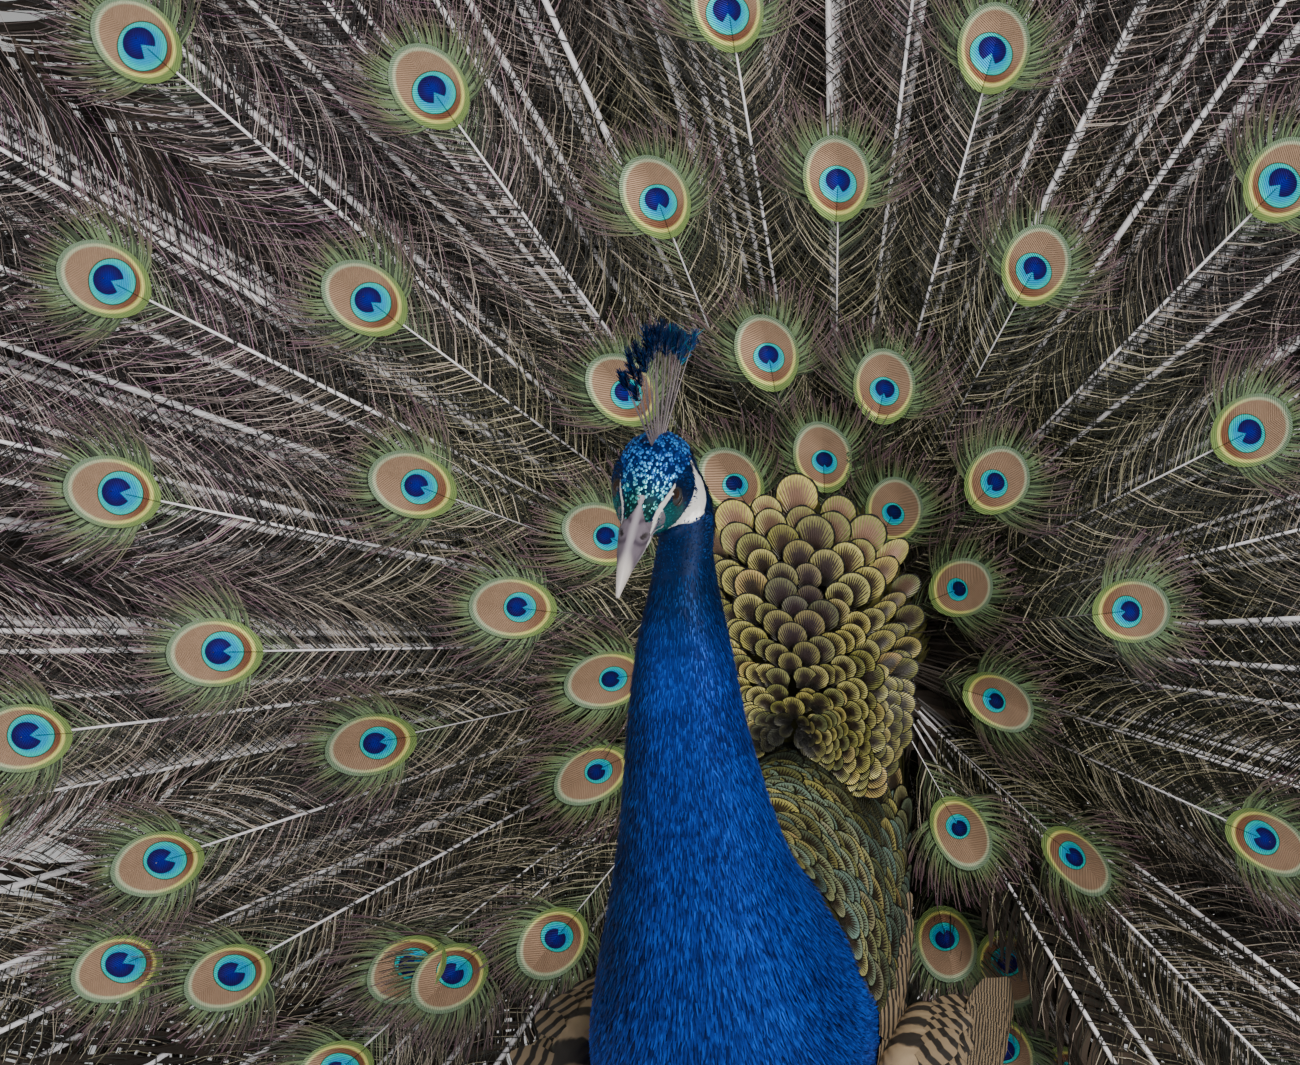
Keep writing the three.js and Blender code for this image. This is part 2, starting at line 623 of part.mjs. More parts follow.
/** The arm and hand of one side, a closed core that the feathers grow from. */
function wingArm(side) {
  const rows = [
    [[-30, 329], 12, 12.6],
    [[-70, 329], 17, 15.6],
    [[-112, 321], 24, 16.6],
    [[-136, 293], 26, 16.8],
    [[-138, 263], 20, 16.8],
    [[-118, 241], 15, 16.6],
    [[-86, 221], 9, 16],
  ];
  return loft(rows.map(([[y, z], high, thick], k) => {
    const [y0, z0] = rows[Math.max(k - 1, 0)][0];
    const [y1, z1] = rows[Math.min(k + 1, rows.length - 1)][0];
    const across = vec(0, -(z1 - z0), y1 - y0).normalize();
    const ring = [];
    for (let i = 0; i < 8; i++) {
      const angle = (i / 8) * Math.PI * 2;
      const x = WING_INNER + thick + thick * Math.cos(angle);
      ring.push(vec(side * x, y, z).addScaledVector(across, high * Math.sin(angle)));
    }
    return ring;
  }));
}

function wing(side) {
  const rows = WING_ROWS.flatMap(([first, last, x, step, count, lengths, downs, half]) => (
    Array.from({ length: count }, (_, i) => {
      const t = i / (count - 1);
      const layer = x + step * i + (step === 0 ? (i % 2) * 1.1 : 0);
      return wingFeather(side, between(first, last, t), layer, lerp(...lengths, t), lerp(...downs, t), half);
    })
  ));
  return join([wingArm(side), ...rows]);
}

// ---------------------------------------------------------------- legs
const FOOT_X = 46;
const HEEL_Y = -6;
const ANKLE_Z = 20;
const HOCK = vec(47, 40, 160);
const KNEE_TOP = vec(41, -24, 330);
const TARSUS_RADIUS = 6.2;

/** A tapered limb through [point, half width, half depth] steps with level sections. */
function limb(steps, sides = 12) {
  return loft(steps.map(([p, half, depth]) => {
    const ring = [];
    for (let i = 0; i < sides; i++) {
      const angle = (i / sides) * Math.PI * 2;
      ring.push(vec(p.x + half * Math.cos(angle), p.y + depth * Math.sin(angle), p.z));
    }
    return ring;
  }));
}

function thigh(side, grow = 0) {
  const at = (t) => KNEE_TOP.clone().lerp(HOCK, t).setX(side * lerp(KNEE_TOP.x, HOCK.x, t));
  const steps = [
    [at(0).add(vec(0, 0, grow)), 30, 52],
    [at(0.2), 29, 50],
    [at(0.4), 25, 42],
    [at(0.62), 19, 30],
    [at(0.82), 13, 19],
    [at(0.95), 9.5, 12],
    [at(1.0), 8.5, 10],
  ];
  return limb(steps.map(([p, half, depth]) => [p, half + grow, depth + grow])).subtract(bodyClear);
}

function shank(side) {
  const top = HOCK.clone().setX(side * HOCK.x);
  top.z -= GAP;
  const foot = vec(side * FOOT_X, HEEL_Y, ANKLE_Z + GAP);
  return limb([
    [top, 8.5, 10],
    [top.clone().lerp(foot, 0.1), 7.6, 9.0],
    [top.clone().lerp(foot, 0.25), TARSUS_RADIUS, 7.2],
    [top.clone().lerp(foot, 0.75), TARSUS_RADIUS, 7.0],
    [foot, 7.4, 8.6],
  ]);
}

// Toes: degrees outward from straight ahead, length without the claw, half width at the root.
const TOES = [
  { name: 'inner', turn: -26, length: 50, half: 5.6 },
  { name: 'middle', turn: 2, length: 66, half: 6.4 },
  { name: 'outer', turn: 30, length: 52, half: 5.6 },
  { name: 'hind', turn: 172, length: 26, half: 4.8 },
];

/** A section with a flat sole, across direction side, standing on the floor. */
function soled(middle, across, half, height, sides = 6) {
  const ring = [];
  for (let i = 0; i < sides; i++) {
    const angle = (i / sides) * Math.PI * 2 + Math.PI / sides;
    const z = Math.max(0, height * (0.42 + 0.58 * Math.sin(angle)));
    ring.push(middle.clone().addScaledVector(across, half * Math.cos(angle)).setZ(z));
  }
  return ring;
}

function toeAxes(side, toe) {
  const turn = radians(toe.turn) * side;
  const ahead = vec(Math.sin(turn), -Math.cos(turn), 0);
  return { ahead, across: vec(-ahead.y, ahead.x, 0) };
}

function foot(side) {
  const root = vec(side * FOOT_X, HEEL_Y, 0);
  const parts = TOES.map((toe) => {
    const { ahead, across } = toeAxes(side, toe);
    const at = (t) => root.clone().addScaledVector(ahead, toe.length * t);
    return loft([
      soled(at(-0.02), across, toe.half * 0.9, 15),
      soled(at(0.2), across, toe.half * 1.02, 13.5),
      soled(at(0.45), across, toe.half * 0.9, 11.5),
      soled(at(0.7), across, toe.half * 0.86, 10),
      soled(at(0.9), across, toe.half * 0.72, 9),
      soled(at(1.0), across, toe.half * 0.55, 7.4),
    ]);
  });
  const pillar = limb([
    [vec(root.x, root.y, 0), 8.0, 9.4],
    [vec(root.x, root.y, 8), 8.6, 10],
    [vec(root.x, root.y, ANKLE_Z), 7.4, 8.6],
  ]);
  return join([pillar, ...parts]);
}

function claw(side, toe) {
  const { ahead, across } = toeAxes(side, toe);
  const at = (d) => vec(side * FOOT_X, HEEL_Y, 0).addScaledVector(ahead, toe.length + GAP + d);
  const ring = (d, half, low, high) => {
    const middle = at(d);
    const up = (z, w) => middle.clone().addScaledVector(across, w).setZ(z);
    return [up(low, half * 0.7), up((low + high) / 2, half), up(high, 0), up((low + high) / 2, -half), up(low, -half * 0.7)];
  };
  return loft([ring(0, 2.6, 1.6, 7.0), ring(5, 2.1, 1.8, 6.4), ring(10, 1.3, 1.2, 4.6), ring(14.5, 0.35, 0.5, 1.4)]);
}

const SPUR_Z = 74;
function spur(side) {
  const t = (SPUR_Z - ANKLE_Z) / (HOCK.z - ANKLE_Z);
  const root = vec(side * lerp(FOOT_X, HOCK.x, t), lerp(HEEL_Y, HOCK.y, t), SPUR_Z);
  const out = vec(-side * 0.55, 0.82, 0.12).normalize();
  const cone = new THREE.CylinderGeometry(0.5, 3.4, 24, 8);
  cone.translate(0, 12, 0);
  cone.applyQuaternion(new THREE.Quaternion().setFromUnitVectors(vec(0, 1, 0), out));
  cone.translate(root.x, root.y, root.z);
  const grown = limb([
    [vec(side * FOOT_X, HEEL_Y, ANKLE_Z), 7.4 + GAP, 8.6 + GAP],
    [HOCK.clone().setX(side * HOCK.x).lerp(vec(side * FOOT_X, HEEL_Y, ANKLE_Z), 0.75), TARSUS_RADIUS + GAP, 7.0 + GAP],
    [HOCK.clone().setX(side * HOCK.x).lerp(vec(side * FOOT_X, HEEL_Y, ANKLE_Z), 0.25), TARSUS_RADIUS + GAP, 7.2 + GAP],
  ]);
  return solidOf(cone).subtract(grown);
}

// ---------------------------------------------------------------- vent
const ventShape = new THREE.SphereGeometry(1, 12, 8);
ventShape.applyMatrix4(new THREE.Matrix4().makeRotationX(Math.PI / 2));
ventShape.scale(40, 44, 62);
ventShape.rotateX(radians(-20));
ventShape.translate(0, 128, 352);

// ---------------------------------------------------------------- assembly
const peacock = new THREE.Group();
const add = (...made) => peacock.add(...made);

add(node('head', head, COLOURS.crown));
add(node('bill_upper', billParts[0].subtract(nostrils), COLOURS.horn, 0.5));
add(node('bill_lower', billParts[1], COLOURS.horn, 0.5));
add(node('eye_left', headBall(EYE.s, EYE.t, EYE.u, EYE_RADIUS), COLOURS.eye, 0.1));
add(node('eye_right', headBall(EYE.s, -EYE.t, EYE.u, EYE_RADIUS), COLOURS.eye, 0.1));
add(node('crest', crest, COLOURS.navy));
add(node('neck_upper', trunk(NECK_TOP, NECK_MIDDLE, 0, GAP, 0), COLOURS.blue));
add(node('neck_lower', trunk(NECK_MIDDLE, NECK_ROOT, 0, GAP, 0), COLOURS.blue));
add(node('torso', trunk(NECK_ROOT, LAST, 0, GAP, 0), COLOURS.bronze));
add(node('rump', join([rumpShape(9), ...rumpScales]).subtract(bodyClear), COLOURS.bronze));
add(node('vent', solidOf(ventShape).subtract(bodyClear), COLOURS.dark));
add(...train);
const trainClear = join(SECTORS.map(([, from, to]) => hub(from, to)));
add(node('tail', tail.subtract(bodyClear).subtract(trainClear), COLOURS.brown));
for (const [name, side] of [['left', 1], ['right', -1]]) {
  add(node(`wing_${name}`, wing(side).subtract(bodyClear).subtract(thigh(side, GAP)), COLOURS.rufous));
  add(node(`thigh_${name}`, thigh(side), COLOURS.buff));
  add(node(`shank_${name}`, shank(side), COLOURS.leg, 0.6));
  add(node(`spur_${name}`, spur(side), COLOURS.leg, 0.5));
  add(node(`foot_${name}`, foot(side), COLOURS.leg, 0.6));
  for (const toe of TOES) add(node(`claw_${name}_${toe.name}`, claw(side, toe), COLOURS.dark, 0.5));
}

// The origin is on the floor under the middle of the whole.
const box = new THREE.Box3().setFromObject(peacock);
const centre = box.getCenter(vec(0, 0, 0));
for (const made of peacock.children) made.position.set(-centre.x, -centre.y, -box.min.z);

export default peacock;
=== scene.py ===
"""A life-size peacock in full display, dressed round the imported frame.

Lengths are in millimetres. The bird faces -Y, with +X to its left. "Design sizes" are the solids' own
coordinates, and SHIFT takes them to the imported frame.
"""
import json
import math
import bpy
import numpy as np
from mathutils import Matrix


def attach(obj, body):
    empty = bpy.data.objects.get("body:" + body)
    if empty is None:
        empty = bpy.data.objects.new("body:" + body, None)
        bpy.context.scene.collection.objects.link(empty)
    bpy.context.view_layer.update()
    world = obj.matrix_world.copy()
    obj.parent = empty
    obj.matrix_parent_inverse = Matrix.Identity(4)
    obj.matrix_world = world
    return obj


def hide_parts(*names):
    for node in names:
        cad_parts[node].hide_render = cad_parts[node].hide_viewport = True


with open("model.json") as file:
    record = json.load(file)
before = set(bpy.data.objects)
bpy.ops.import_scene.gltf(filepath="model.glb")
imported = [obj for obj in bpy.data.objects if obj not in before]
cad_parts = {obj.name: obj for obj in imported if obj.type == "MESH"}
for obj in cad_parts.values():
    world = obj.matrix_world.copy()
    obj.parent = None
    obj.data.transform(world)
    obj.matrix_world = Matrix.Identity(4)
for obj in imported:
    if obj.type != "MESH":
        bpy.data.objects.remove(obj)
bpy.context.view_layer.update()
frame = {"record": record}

MM = 0.001
FOOT = np.array([46.0, -6.0, 0.0])  # the left foot's middle in design sizes
sole = frame["record"]["mounts"][0]["pos_m"]
SHIFT = np.array(sole) / MM - FOOT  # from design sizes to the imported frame

# ---------------------------------------------------------------- meshes
UP = np.array([0.0, 0.0, 1.0])
PATCH_SIZE = 0.003  # of a small feather's patch on the OFBake map


def unit(v):
    return v / np.maximum(np.linalg.norm(v, axis=-1, keepdims=True), 1e-9)


def tangent(way, normal):
    """The unit direction nearest to way that is square to normal."""
    return unit(way - normal * (way * normal).sum(-1, keepdims=True))


def smooth(t):
    """From 0 to 1 as t goes from 0 to 1, level at both ends."""
    t = np.clip(t, 0, 1)
    return t * t * (3 - 2 * t)


def lerp(a, b, t):
    return a + (b - a) * t


def draw(i, k):
    """A repeatable number from 0 to 1 for a pair of whole numbers, as the solids use."""
    s = math.sin(i * 12.9898 + k * 78.233) * 43758.5453
    return s - math.floor(s)


def join(*parts):
    """Points or map places from their separate coordinates."""
    return np.stack(np.broadcast_arrays(*parts), -1)


def turns(sides):
    """Even turns round a circle, in radians."""
    return np.arange(sides) / sides * 2 * math.pi


def each(values, count):
    """Numbers given once for each feather, repeated for its points."""
    return {key: np.repeat(value, count) for key, value in values.items()}


def tones(rng, count, spread=0.25):
    """A random tone from 0 to 1 for each feather."""
    return np.clip(0.5 + rng.normal(0, spread, count), 0, 1)


def patch(place, across, along=0.0):
    """OFBake places for the points of small feathers: a small patch at each root's place."""
    return place + join(across * PATCH_SIZE / 2, along * PATCH_SIZE / 2)


def ribbon_map(place, steps):
    """OFBake places for ribbons with that many pairs of points, from the place of each."""
    along = np.repeat(np.linspace(0, 1, steps) * 2 - 1, 2)
    count = len(place)
    return patch(np.repeat(place, steps * 2, 0), np.tile([-1.0, 1.0], count * steps), np.tile(along, count))


def piece(name, points, faces, look, maps=None, values=None, replaces=()):
    """A mesh of the model from points in design sizes, with UV maps and numbers given for each point."""
    groups = faces if isinstance(faces, list) else [faces]
    corners = np.concatenate([g.ravel() for g in groups]).astype(np.int32)
    sizes = np.concatenate([np.full(len(g), g.shape[1]) for g in groups])
    starts = np.concatenate([[0], np.cumsum(sizes)[:-1]]).astype(np.int32)
    mesh = bpy.data.meshes.new(name)
    mesh.vertices.add(len(points))
    mesh.vertices.foreach_set("co", ((points + SHIFT) * MM).astype(np.float32).ravel())
    mesh.loops.add(len(corners))
    mesh.loops.foreach_set("vertex_index", corners)
    mesh.polygons.add(len(sizes))
    mesh.polygons.foreach_set("loop_start", starts)
    mesh.update(calc_edges=True)
    mesh.shade_smooth()
    for key, uv in (maps or {}).items():
        layer = mesh.uv_layers.new(name=key)
        layer.data.foreach_set("uv", uv[corners].astype(np.float32).ravel())
    for key, value in (values or {}).items():
        mesh.attributes.new(key, "FLOAT", "POINT").data.foreach_set("value", value.astype(np.float32))
    made = bpy.data.objects.new(name, mesh)
    bpy.context.scene.collection.objects.link(made)
    made.data.materials.append(look)
    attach(made, "root")
    if replaces:
        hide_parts(*replaces)
    return made


def grid_faces(count, rows, columns, closed=False):
    """Quads of count equal grids of points, each rows by columns, closed round the columns or not."""
    i = np.arange(rows - 1)[:, None]
    j = np.arange(columns if closed else columns - 1)[None, :]
    a = i * columns + j
    b = i * columns + (j + 1) % columns
    one = np.stack([a, b, b + columns, a + columns], -1).reshape(-1, 4)
    return (np.arange(count)[:, None, None] * rows * columns + one).reshape(-1, 4)


def ribbons(paths, half, face):
    """Flat strips along paths (n, k, 3) with half widths (n, k), turned towards face."""
    along = unit(np.gradient(paths, axis=1))
    across = unit(np.cross(along, face))
    points = np.stack([paths - across * half[..., None], paths + across * half[..., None]], 2)
    return points.reshape(-1, 3), grid_faces(len(paths), paths.shape[1], 2)


def tubes(paths, radii, sides=4, face=UP):
    """Closed-sided tubes along paths (n, k, 3) with radii (n, k)."""
    along = unit(np.gradient(paths, axis=1))
    across = unit(np.cross(along, face))
    other = np.cross(across, along)
    turn = turns(sides)
    ring = across[:, :, None] * np.cos(turn)[:, None] + other[:, :, None] * np.sin(turn)[:, None]
    points = paths[:, :, None] + ring * radii[..., None, None]
    return points.reshape(-1, 3), grid_faces(len(paths), paths.shape[1], sides, True)


class Parts:
    """Points, faces, maps and numbers gathered into one mesh. A number or place may stand for all points."""

    def __init__(self):
        self.points, self.faces, self.maps, self.values, self.count = [], [], {}, {}, 0

    def add(self, points, faces, maps=None, values=None):
        self.points.append(points)
        self.faces.append(faces + self.count)
        self.count += len(points)
        for key, uv in (maps or {}).items():
            self.maps.setdefault(key, []).append(np.broadcast_to(uv, (len(points), 2)))
        for key, value in (values or {}).items():
            self.values.setdefault(key, []).append(np.broadcast_to(value, len(points)))

    def make(self, name, look, slot, replaces=()):
        maps = {key: np.concatenate(part) for key, part in self.maps.items()}
        values = {key: np.concatenate(part) for key, part in self.values.items()}
        return piece(name, np.concatenate(self.points), self.faces, look, maps, values, replaces)


# ---------------------------------------------------------------- materials
class Field:
    """A number that varies over a surface: the output of a shader node, with arithmetic."""

    def __init__(self, look, socket):
        self.look, self.socket = look, socket

    def __add__(self, other):
        return self.look.math("ADD", self, other)

    def __sub__(self, other):
        return self.look.math("SUBTRACT", self, other)

    def __rsub__(self, other):
        return self.look.math("SUBTRACT", other, self)

    def __mul__(self, other):
        return self.look.math("MULTIPLY", self, other)

    def __truediv__(self, other):
        return self.look.math("DIVIDE", self, other)

    def __pow__(self, other):
        return self.look.math("POWER", self, other)

    def __abs__(self):
        return self.look.math("ABSOLUTE", self)

    __radd__, __rmul__ = __add__, __mul__

    def sin(self):
        return self.look.math("SINE", self)

    def high(self, other):
        return self.look.math("MAXIMUM", self, other)

    def step(self, start, end):
        """0 before start and 1 after end, or the other way round, smooth between."""
        keys = {"Value": self, "From Min": start, "From Max": end}
        return self.look.node("ShaderNodeMapRange", keys, interpolation_type="SMOOTHSTEP")


class Look:
    """A material made of nodes: each call adds a node and gives its output."""

    def __init__(self, name, **sockets):
        self.material = bpy.data.materials.new(name)
        self.material.use_nodes = True
        self.tree = self.material.node_tree
        self.shader = self.tree.nodes["Principled BSDF"]
        for key, value in sockets.items():
            self.shader.inputs[key.replace("_", " ")].default_value = value

    def node(self, kind, inputs, output=0, **settings):
        made = self.tree.nodes.new(kind)
        for key, value in settings.items():
            setattr(made, key, value)
        for key, value in inputs.items():
            self.feed(made.inputs[key], value)
        return Field(self, made.outputs[output])

    def feed(self, socket, value):
        if isinstance(value, Field):
            self.tree.links.new(value.socket, socket)
        elif isinstance(value, tuple) and len(value) == 3 and socket.type == "RGBA":
            socket.default_value = (*value, 1)
        else:
            socket.default_value = value

    def math(self, operation, *values):
        return self.node("ShaderNodeMath", dict(enumerate(values)), operation=operation)

    def place(self):
        return self.node("ShaderNodeTexCoord", {}, "Object")

    def split(self, vector):
        return [self.node("ShaderNodeSeparateXYZ", {0: vector}, axis) for axis in "XYZ"]

    def map(self, name):
        return self.split(self.node("ShaderNodeUVMap", {}, uv_map=name))[:2]

    def value(self, name):
        return self.node("ShaderNodeAttribute", {}, "Fac", attribute_name=name)

    def noise(self, scale, detail=2.0, vector=None):
        keys = {"Vector": vector or self.place(), "Scale": scale, "Detail": detail}
        return self.node("ShaderNodeTexNoise", keys)

    def mix(self, share, a, b, blend="MIX"):
        keys = {0: share, 6: a, 7: b}
        return self.node("ShaderNodeMix", keys, 2, data_type="RGBA", blend_type=blend)

    def ramp(self, share, *stops):
        made = self.tree.nodes.new("ShaderNodeValToRGB")
        self.feed(made.inputs[0], share)
        slots = made.color_ramp.elements
        while len(slots) < len(stops):
            slots.new(0.5)
        for slot, (place, colour) in zip(slots, stops):
            slot.position = place
            slot.color = (*colour, 1)
        return Field(self, made.outputs[0])

    def layers(self, colour, *over):
        """Colours laid over each other in turn, each given as (share, colour)."""
        for share, next_colour in over:
            colour = self.mix(share, colour, next_colour)
        return colour

    def finish(self, colour, height=None, depth=0.5):
        """Connects the colour and, where given, a bump of that depth in millimetres."""
        self.feed(self.shader.inputs["Base Color"], colour)
        if height is not None:
            keys = {"Height": height, "Distance": depth * MM, "Strength": 1.0}
            self.feed(self.shader.inputs["Normal"], self.node("ShaderNodeBump", keys))
        return self.material


# ---------------------------------------------------------------- camera, floor and light
# The picture plane lies through the root of the fan, where one pixel is 0.52 mm.
CAMERA_TURN = math.radians(13)
CAMERA_RISE = math.radians(16)
CAMERA_DISTANCE = 3100
PIXEL = 0.52
FRAME_WIDTH = 1300
CENTRE_RIGHT, CENTRE_UP = -69.4, 549.5  # the picture's middle, along the camera's own axes
FAN_ROOT = np.array([0.0, 110.0, 480.0])

sin_a, cos_a = math.sin(CAMERA_TURN), math.cos(CAMERA_TURN)
sin_e, cos_e = math.sin(CAMERA_RISE), math.cos(CAMERA_RISE)
cam_right = np.array([cos_a, sin_a, 0])
cam_up = np.array([-sin_a * sin_e, cos_a * sin_e, cos_e])
cam_ahead = np.array([-sin_a * cos_e, cos_a * cos_e, -sin_e])
cam_back = FAN_ROOT @ cam_ahead - CAMERA_DISTANCE
cam_place = cam_right * CENTRE_RIGHT + cam_up * CENTRE_UP + cam_ahead * cam_back

lens = bpy.data.cameras.new("camera")
lens.sensor_width = 36
lens.lens = CAMERA_DISTANCE / PIXEL / FRAME_WIDTH * lens.sensor_width
lens.clip_start = 0.1
lens.clip_end = 100
camera = bpy.data.objects.new("camera", lens)
camera.location = (cam_place + SHIFT) * MM
camera.rotation_euler = (math.pi / 2 - CAMERA_RISE, 0, CAMERA_TURN)
bpy.context.scene.collection.objects.link(camera)
bpy.context.scene.camera = camera


LAMP_AIM = (0, 0, 0.7)  # metres, like the lamps' places and sizes


def lamp(name, place, size, power, colour=(1, 1, 1)):
    """A square soft light, aimed at the middle of the bird."""
    light = bpy.data.lights.new(name, "AREA")
    light.shape = "SQUARE"
    light.size = size
    light.energy = power
    light.color = colour
    made = bpy.data.objects.new(name, light)
    made.location = place
    away = np.array(place) - np.array(LAMP_AIM)
    tilt = math.atan2(math.hypot(away[0], away[1]), away[2])
    made.rotation_euler = (tilt, 0, math.atan2(away[0], -away[1]))
    bpy.context.scene.collection.objects.link(made)


lamp("key", (2.0, -2.7, 2.9), 1.3, 185, (1, 0.98, 0.95))
lamp("fill", (-3.0, -2.6, 1.6), 2.6, 34, (0.93, 0.95, 1))
lamp("back", (0.8, 3.2, 2.8), 2.4, 90)

world = bpy.data.worlds.new("studio")
world.use_nodes = True
sky = world.node_tree.nodes["Background"].inputs
sky["Color"].default_value = (0.86, 0.87, 0.88, 1)
sky["Strength"].default_value = 0.36
bpy.context.scene.world = world

floor_look = Look("floor_look", Roughness=0.8)
floor_look.finish(floor_look.mix(floor_look.noise(3.0), (0.72, 0.72, 0.71), (0.76, 0.76, 0.75)))
bpy.ops.mesh.primitive_grid_add(x_subdivisions=8, y_subdivisions=8, size=60)
floor = bpy.context.object
floor.name = "floor"
floor.data.materials.append(floor_look.material)

# ---------------------------------------------------------------- the train's surface
TRAIN_ROOT_Z = 480
SHORTEST_REACH, TRAIN_REACH = 100, 1150
TRAIN_LEAN = math.tan(math.radians(12))  # of the raised feathers, backwards
CURL, CURL_FROM = 60, 600  # how far forwards the long feathers' tips curl, and from where
FLOOR_CLEARANCE = 14


def train_point(angle, r, reach):
    """A point of the raised train: degrees from upright, distance from the root, the feather's reach."""
    angle, r, reach = np.broadcast_arrays(angle, np.asarray(r, float), reach)
    a = np.abs(angle)
    up = np.cos(np.radians(angle))
    share = 1 - 0.7 * smooth((a - 90) / 60) - 0.3 * smooth((a - 150) / 6)
    root_depth = lerp(88, 130, (reach - SHORTEST_REACH) / (TRAIN_REACH - SHORTEST_REACH))
    curl = CURL * (np.maximum(0, r - CURL_FROM) / CURL_FROM) ** 2
    lean = np.radians(10 + 17 * np.exp(-(reach - SHORTEST_REACH) / 350))
    ahead = share * ((r - 60) * np.tan(lean) + curl)
    back = r * np.maximum(up, 0) * TRAIN_LEAN
    outward = 20 * smooth((a - 100) / 50) * np.sign(angle)
    x = r * np.sin(np.radians(angle)) + outward
    under = 46 * smooth((a - 149.5) / 5)
    return np.stack([x, root_depth - ahead + back + under, TRAIN_ROOT_Z + r * up], -1)


def train_axes(angle, r, reach):
    """Across the rachis and out of the front of the train at a point."""
    along = unit(train_point(angle, r + 2, reach) - train_point(angle, r - 2, reach))
    beside = train_point(angle + 0.5, r, reach) - train_point(angle - 0.5, r, reach)
    across = tangent(beside, along)
    return across, unit(np.cross(across, along))


def longest_reach(angle, wanted=TRAIN_REACH):
    """The longest reach that stays clear of the floor at an angle."""
    up = math.cos(math.radians(angle))
    return wanted if up >= -0.05 else min(wanted, (TRAIN_ROOT_Z - FLOOR_CLEARANCE) / -up)


# The feathers of the solids: [degrees from upright, reach of the eyespot] round the head and back,
# then rings of the rest as [reach, how many].
INNER_FEATHERS = [
    [-48, 468], [-34, 354], [-8, 342], [15, 336], [-19, 255], [2, 255], [41, 356], [-62, 410],
    [-51, 295], [27, 243], [-35.5, 172], [-9.5, 164], [12.5, 151], [57, 265], [-76.5, 365], [-66, 223],
    [-27, 102], [0, 106], [24.5, 88], [41.5, 138], [-60, 127], [-80, 155], [59, 84], [74, 171],
    [-89, 300], [-96, 107], [-96, 402], [-101, 227], [96, 95], [-120, 125], [-108.5, 352], [125, 155],
    [104, 245], [-143, 198], [-131, 265], [-121, 347], [-116, 397], [-135.5, 251], [147, 100],
]
INNER_X = [-425, 285]  # where no other eyespots show among them
INNER_Z = [270, 850]
OUTER_RINGS = [[235, 9], [330, 9], [430, 9], [530, 10], [640, 11], [755, 12], [875, 13], [1000, 14]]
MORE_RINGS = [[480, 8], [585, 12], [700, 13], [815, 14], [940, 16]]  # finer than the solids
FISH_TAILS = 24
MORE_FISH_TAILS = 26
EDGE_FEATHERS = 5
UNDER_FEATHERS = [  # finer than the solids, below the lowest sectors
    [152, 330], [153.5, 410], [155, 262], [156.5, 372], [158, 190], [159.5, 300],
    [161.5, 405], [163, 236], [164.5, 345], [167, 169], [168.5, 290], [170.5, 390],
]
SECTORS = [
    ["train_right_low", -150, -104.5], ["train_right_mid", -103.5, -56.6], ["train_right_high", -55.4, -4.6],
    ["train_left_high", -3.4, 49.4], ["train_left_mid", 50.6, 100.3], ["train_left_low", 101.5, 150],
]
SEAM_CLEARANCE = 2.6


def off_seams(angle):
    """The nearest angle that is clear of the gaps between the sectors."""
    best = angle
    for _, start, end in SECTORS:
        if start - 1.2 <= angle <= end + 1.2:
            best = min(max(angle, start + SEAM_CLEARANCE), end - SEAM_CLEARANCE)
    return best


def ring_feathers(rings, seed):
    """Feathers with eyespots, spread over rings of [reach, how many]."""
    found = []
    for k, (ring, count) in enumerate(rings):
        for i in range(count):
            angle = off_seams(-146 + 292 * (i + 0.25 + 0.5 * draw(i, k + seed)) / count)
            reach = ring + 34 * (draw(i, k + seed + 20) - 0.5)
            x = reach * math.sin(math.radians(angle))
            z = TRAIN_ROOT_Z + reach * math.cos(math.radians(angle))
            among = INNER_X[0] < x < INNER_X[1] and INNER_Z[0] < z < INNER_Z[1]
            if not among and reach + 60 < longest_reach(angle):
                found.append((angle, reach, "eye"))
    return found


def train_feathers():
    """Every feather of the train as (degrees from upright, reach, kind)."""
    found = [(off_seams(a), reach, "eye") for a, reach in INNER_FEATHERS]
    found += ring_feathers(OUTER_RINGS, 0) + ring_feathers(MORE_RINGS, 200)
    for count, seed in ((FISH_TAILS, 50), (MORE_FISH_TAILS, 250)):
        for i in range(count):
            angle = off_seams(-104 + 208 * (i + 0.3 + 0.4 * draw(i, seed)) / count)
            found.append((angle, TRAIN_REACH - 70 * draw(i, seed + 1), "fish"))
    for side in (-1, 1):
        found += [(side * angle, reach, "eye") for angle, reach in UNDER_FEATHERS]
        for i in range(2 * EDGE_FEATHERS - 1):
            angle = side * (112 + 17.5 * i / (EDGE_FEATHERS - 1))
            found.append((off_seams(angle), longest_reach(angle, 1000) - 10 - 2 * i, "sickle"))
    return found


FEATHERS = train_feathers()


def eyespot_scale(smallest, reach):
    """The size of an eyespot's parts, which grows with the feather's reach."""
    return lerp(smallest, 1.0, np.clip((reach - 80) / 400, 0, 1) ** 0.75)


def disc_scale(reach):
    return eyespot_scale(0.45, reach)


def plate_scale(reach):
    return eyespot_scale(0.76, reach)


class Lane:
    """The course of one train feather, as a table from which places beside its rachis are read."""

    def __init__(self, angle, reach):
        self.r = np.arange(30.0, reach + 130, 8)
        middle = train_point(angle, self.r, reach)
        across, front = train_axes(angle, self.r, reach)
        self.columns = np.concatenate([middle, across, front], 1).T

    def read(self, y):
        table = np.stack([np.interp(y, self.r, column) for column in self.columns], -1)
        return table[..., :3], table[..., 3:6], table[..., 6:]

    def at(self, x, y, lift):
        """The point x to the side of the rachis at distance y from the root, lifted out of the front."""
        middle, across, front = self.read(y)
        return middle + across * np.asarray(x)[..., None] + front * np.asarray(lift)[..., None]


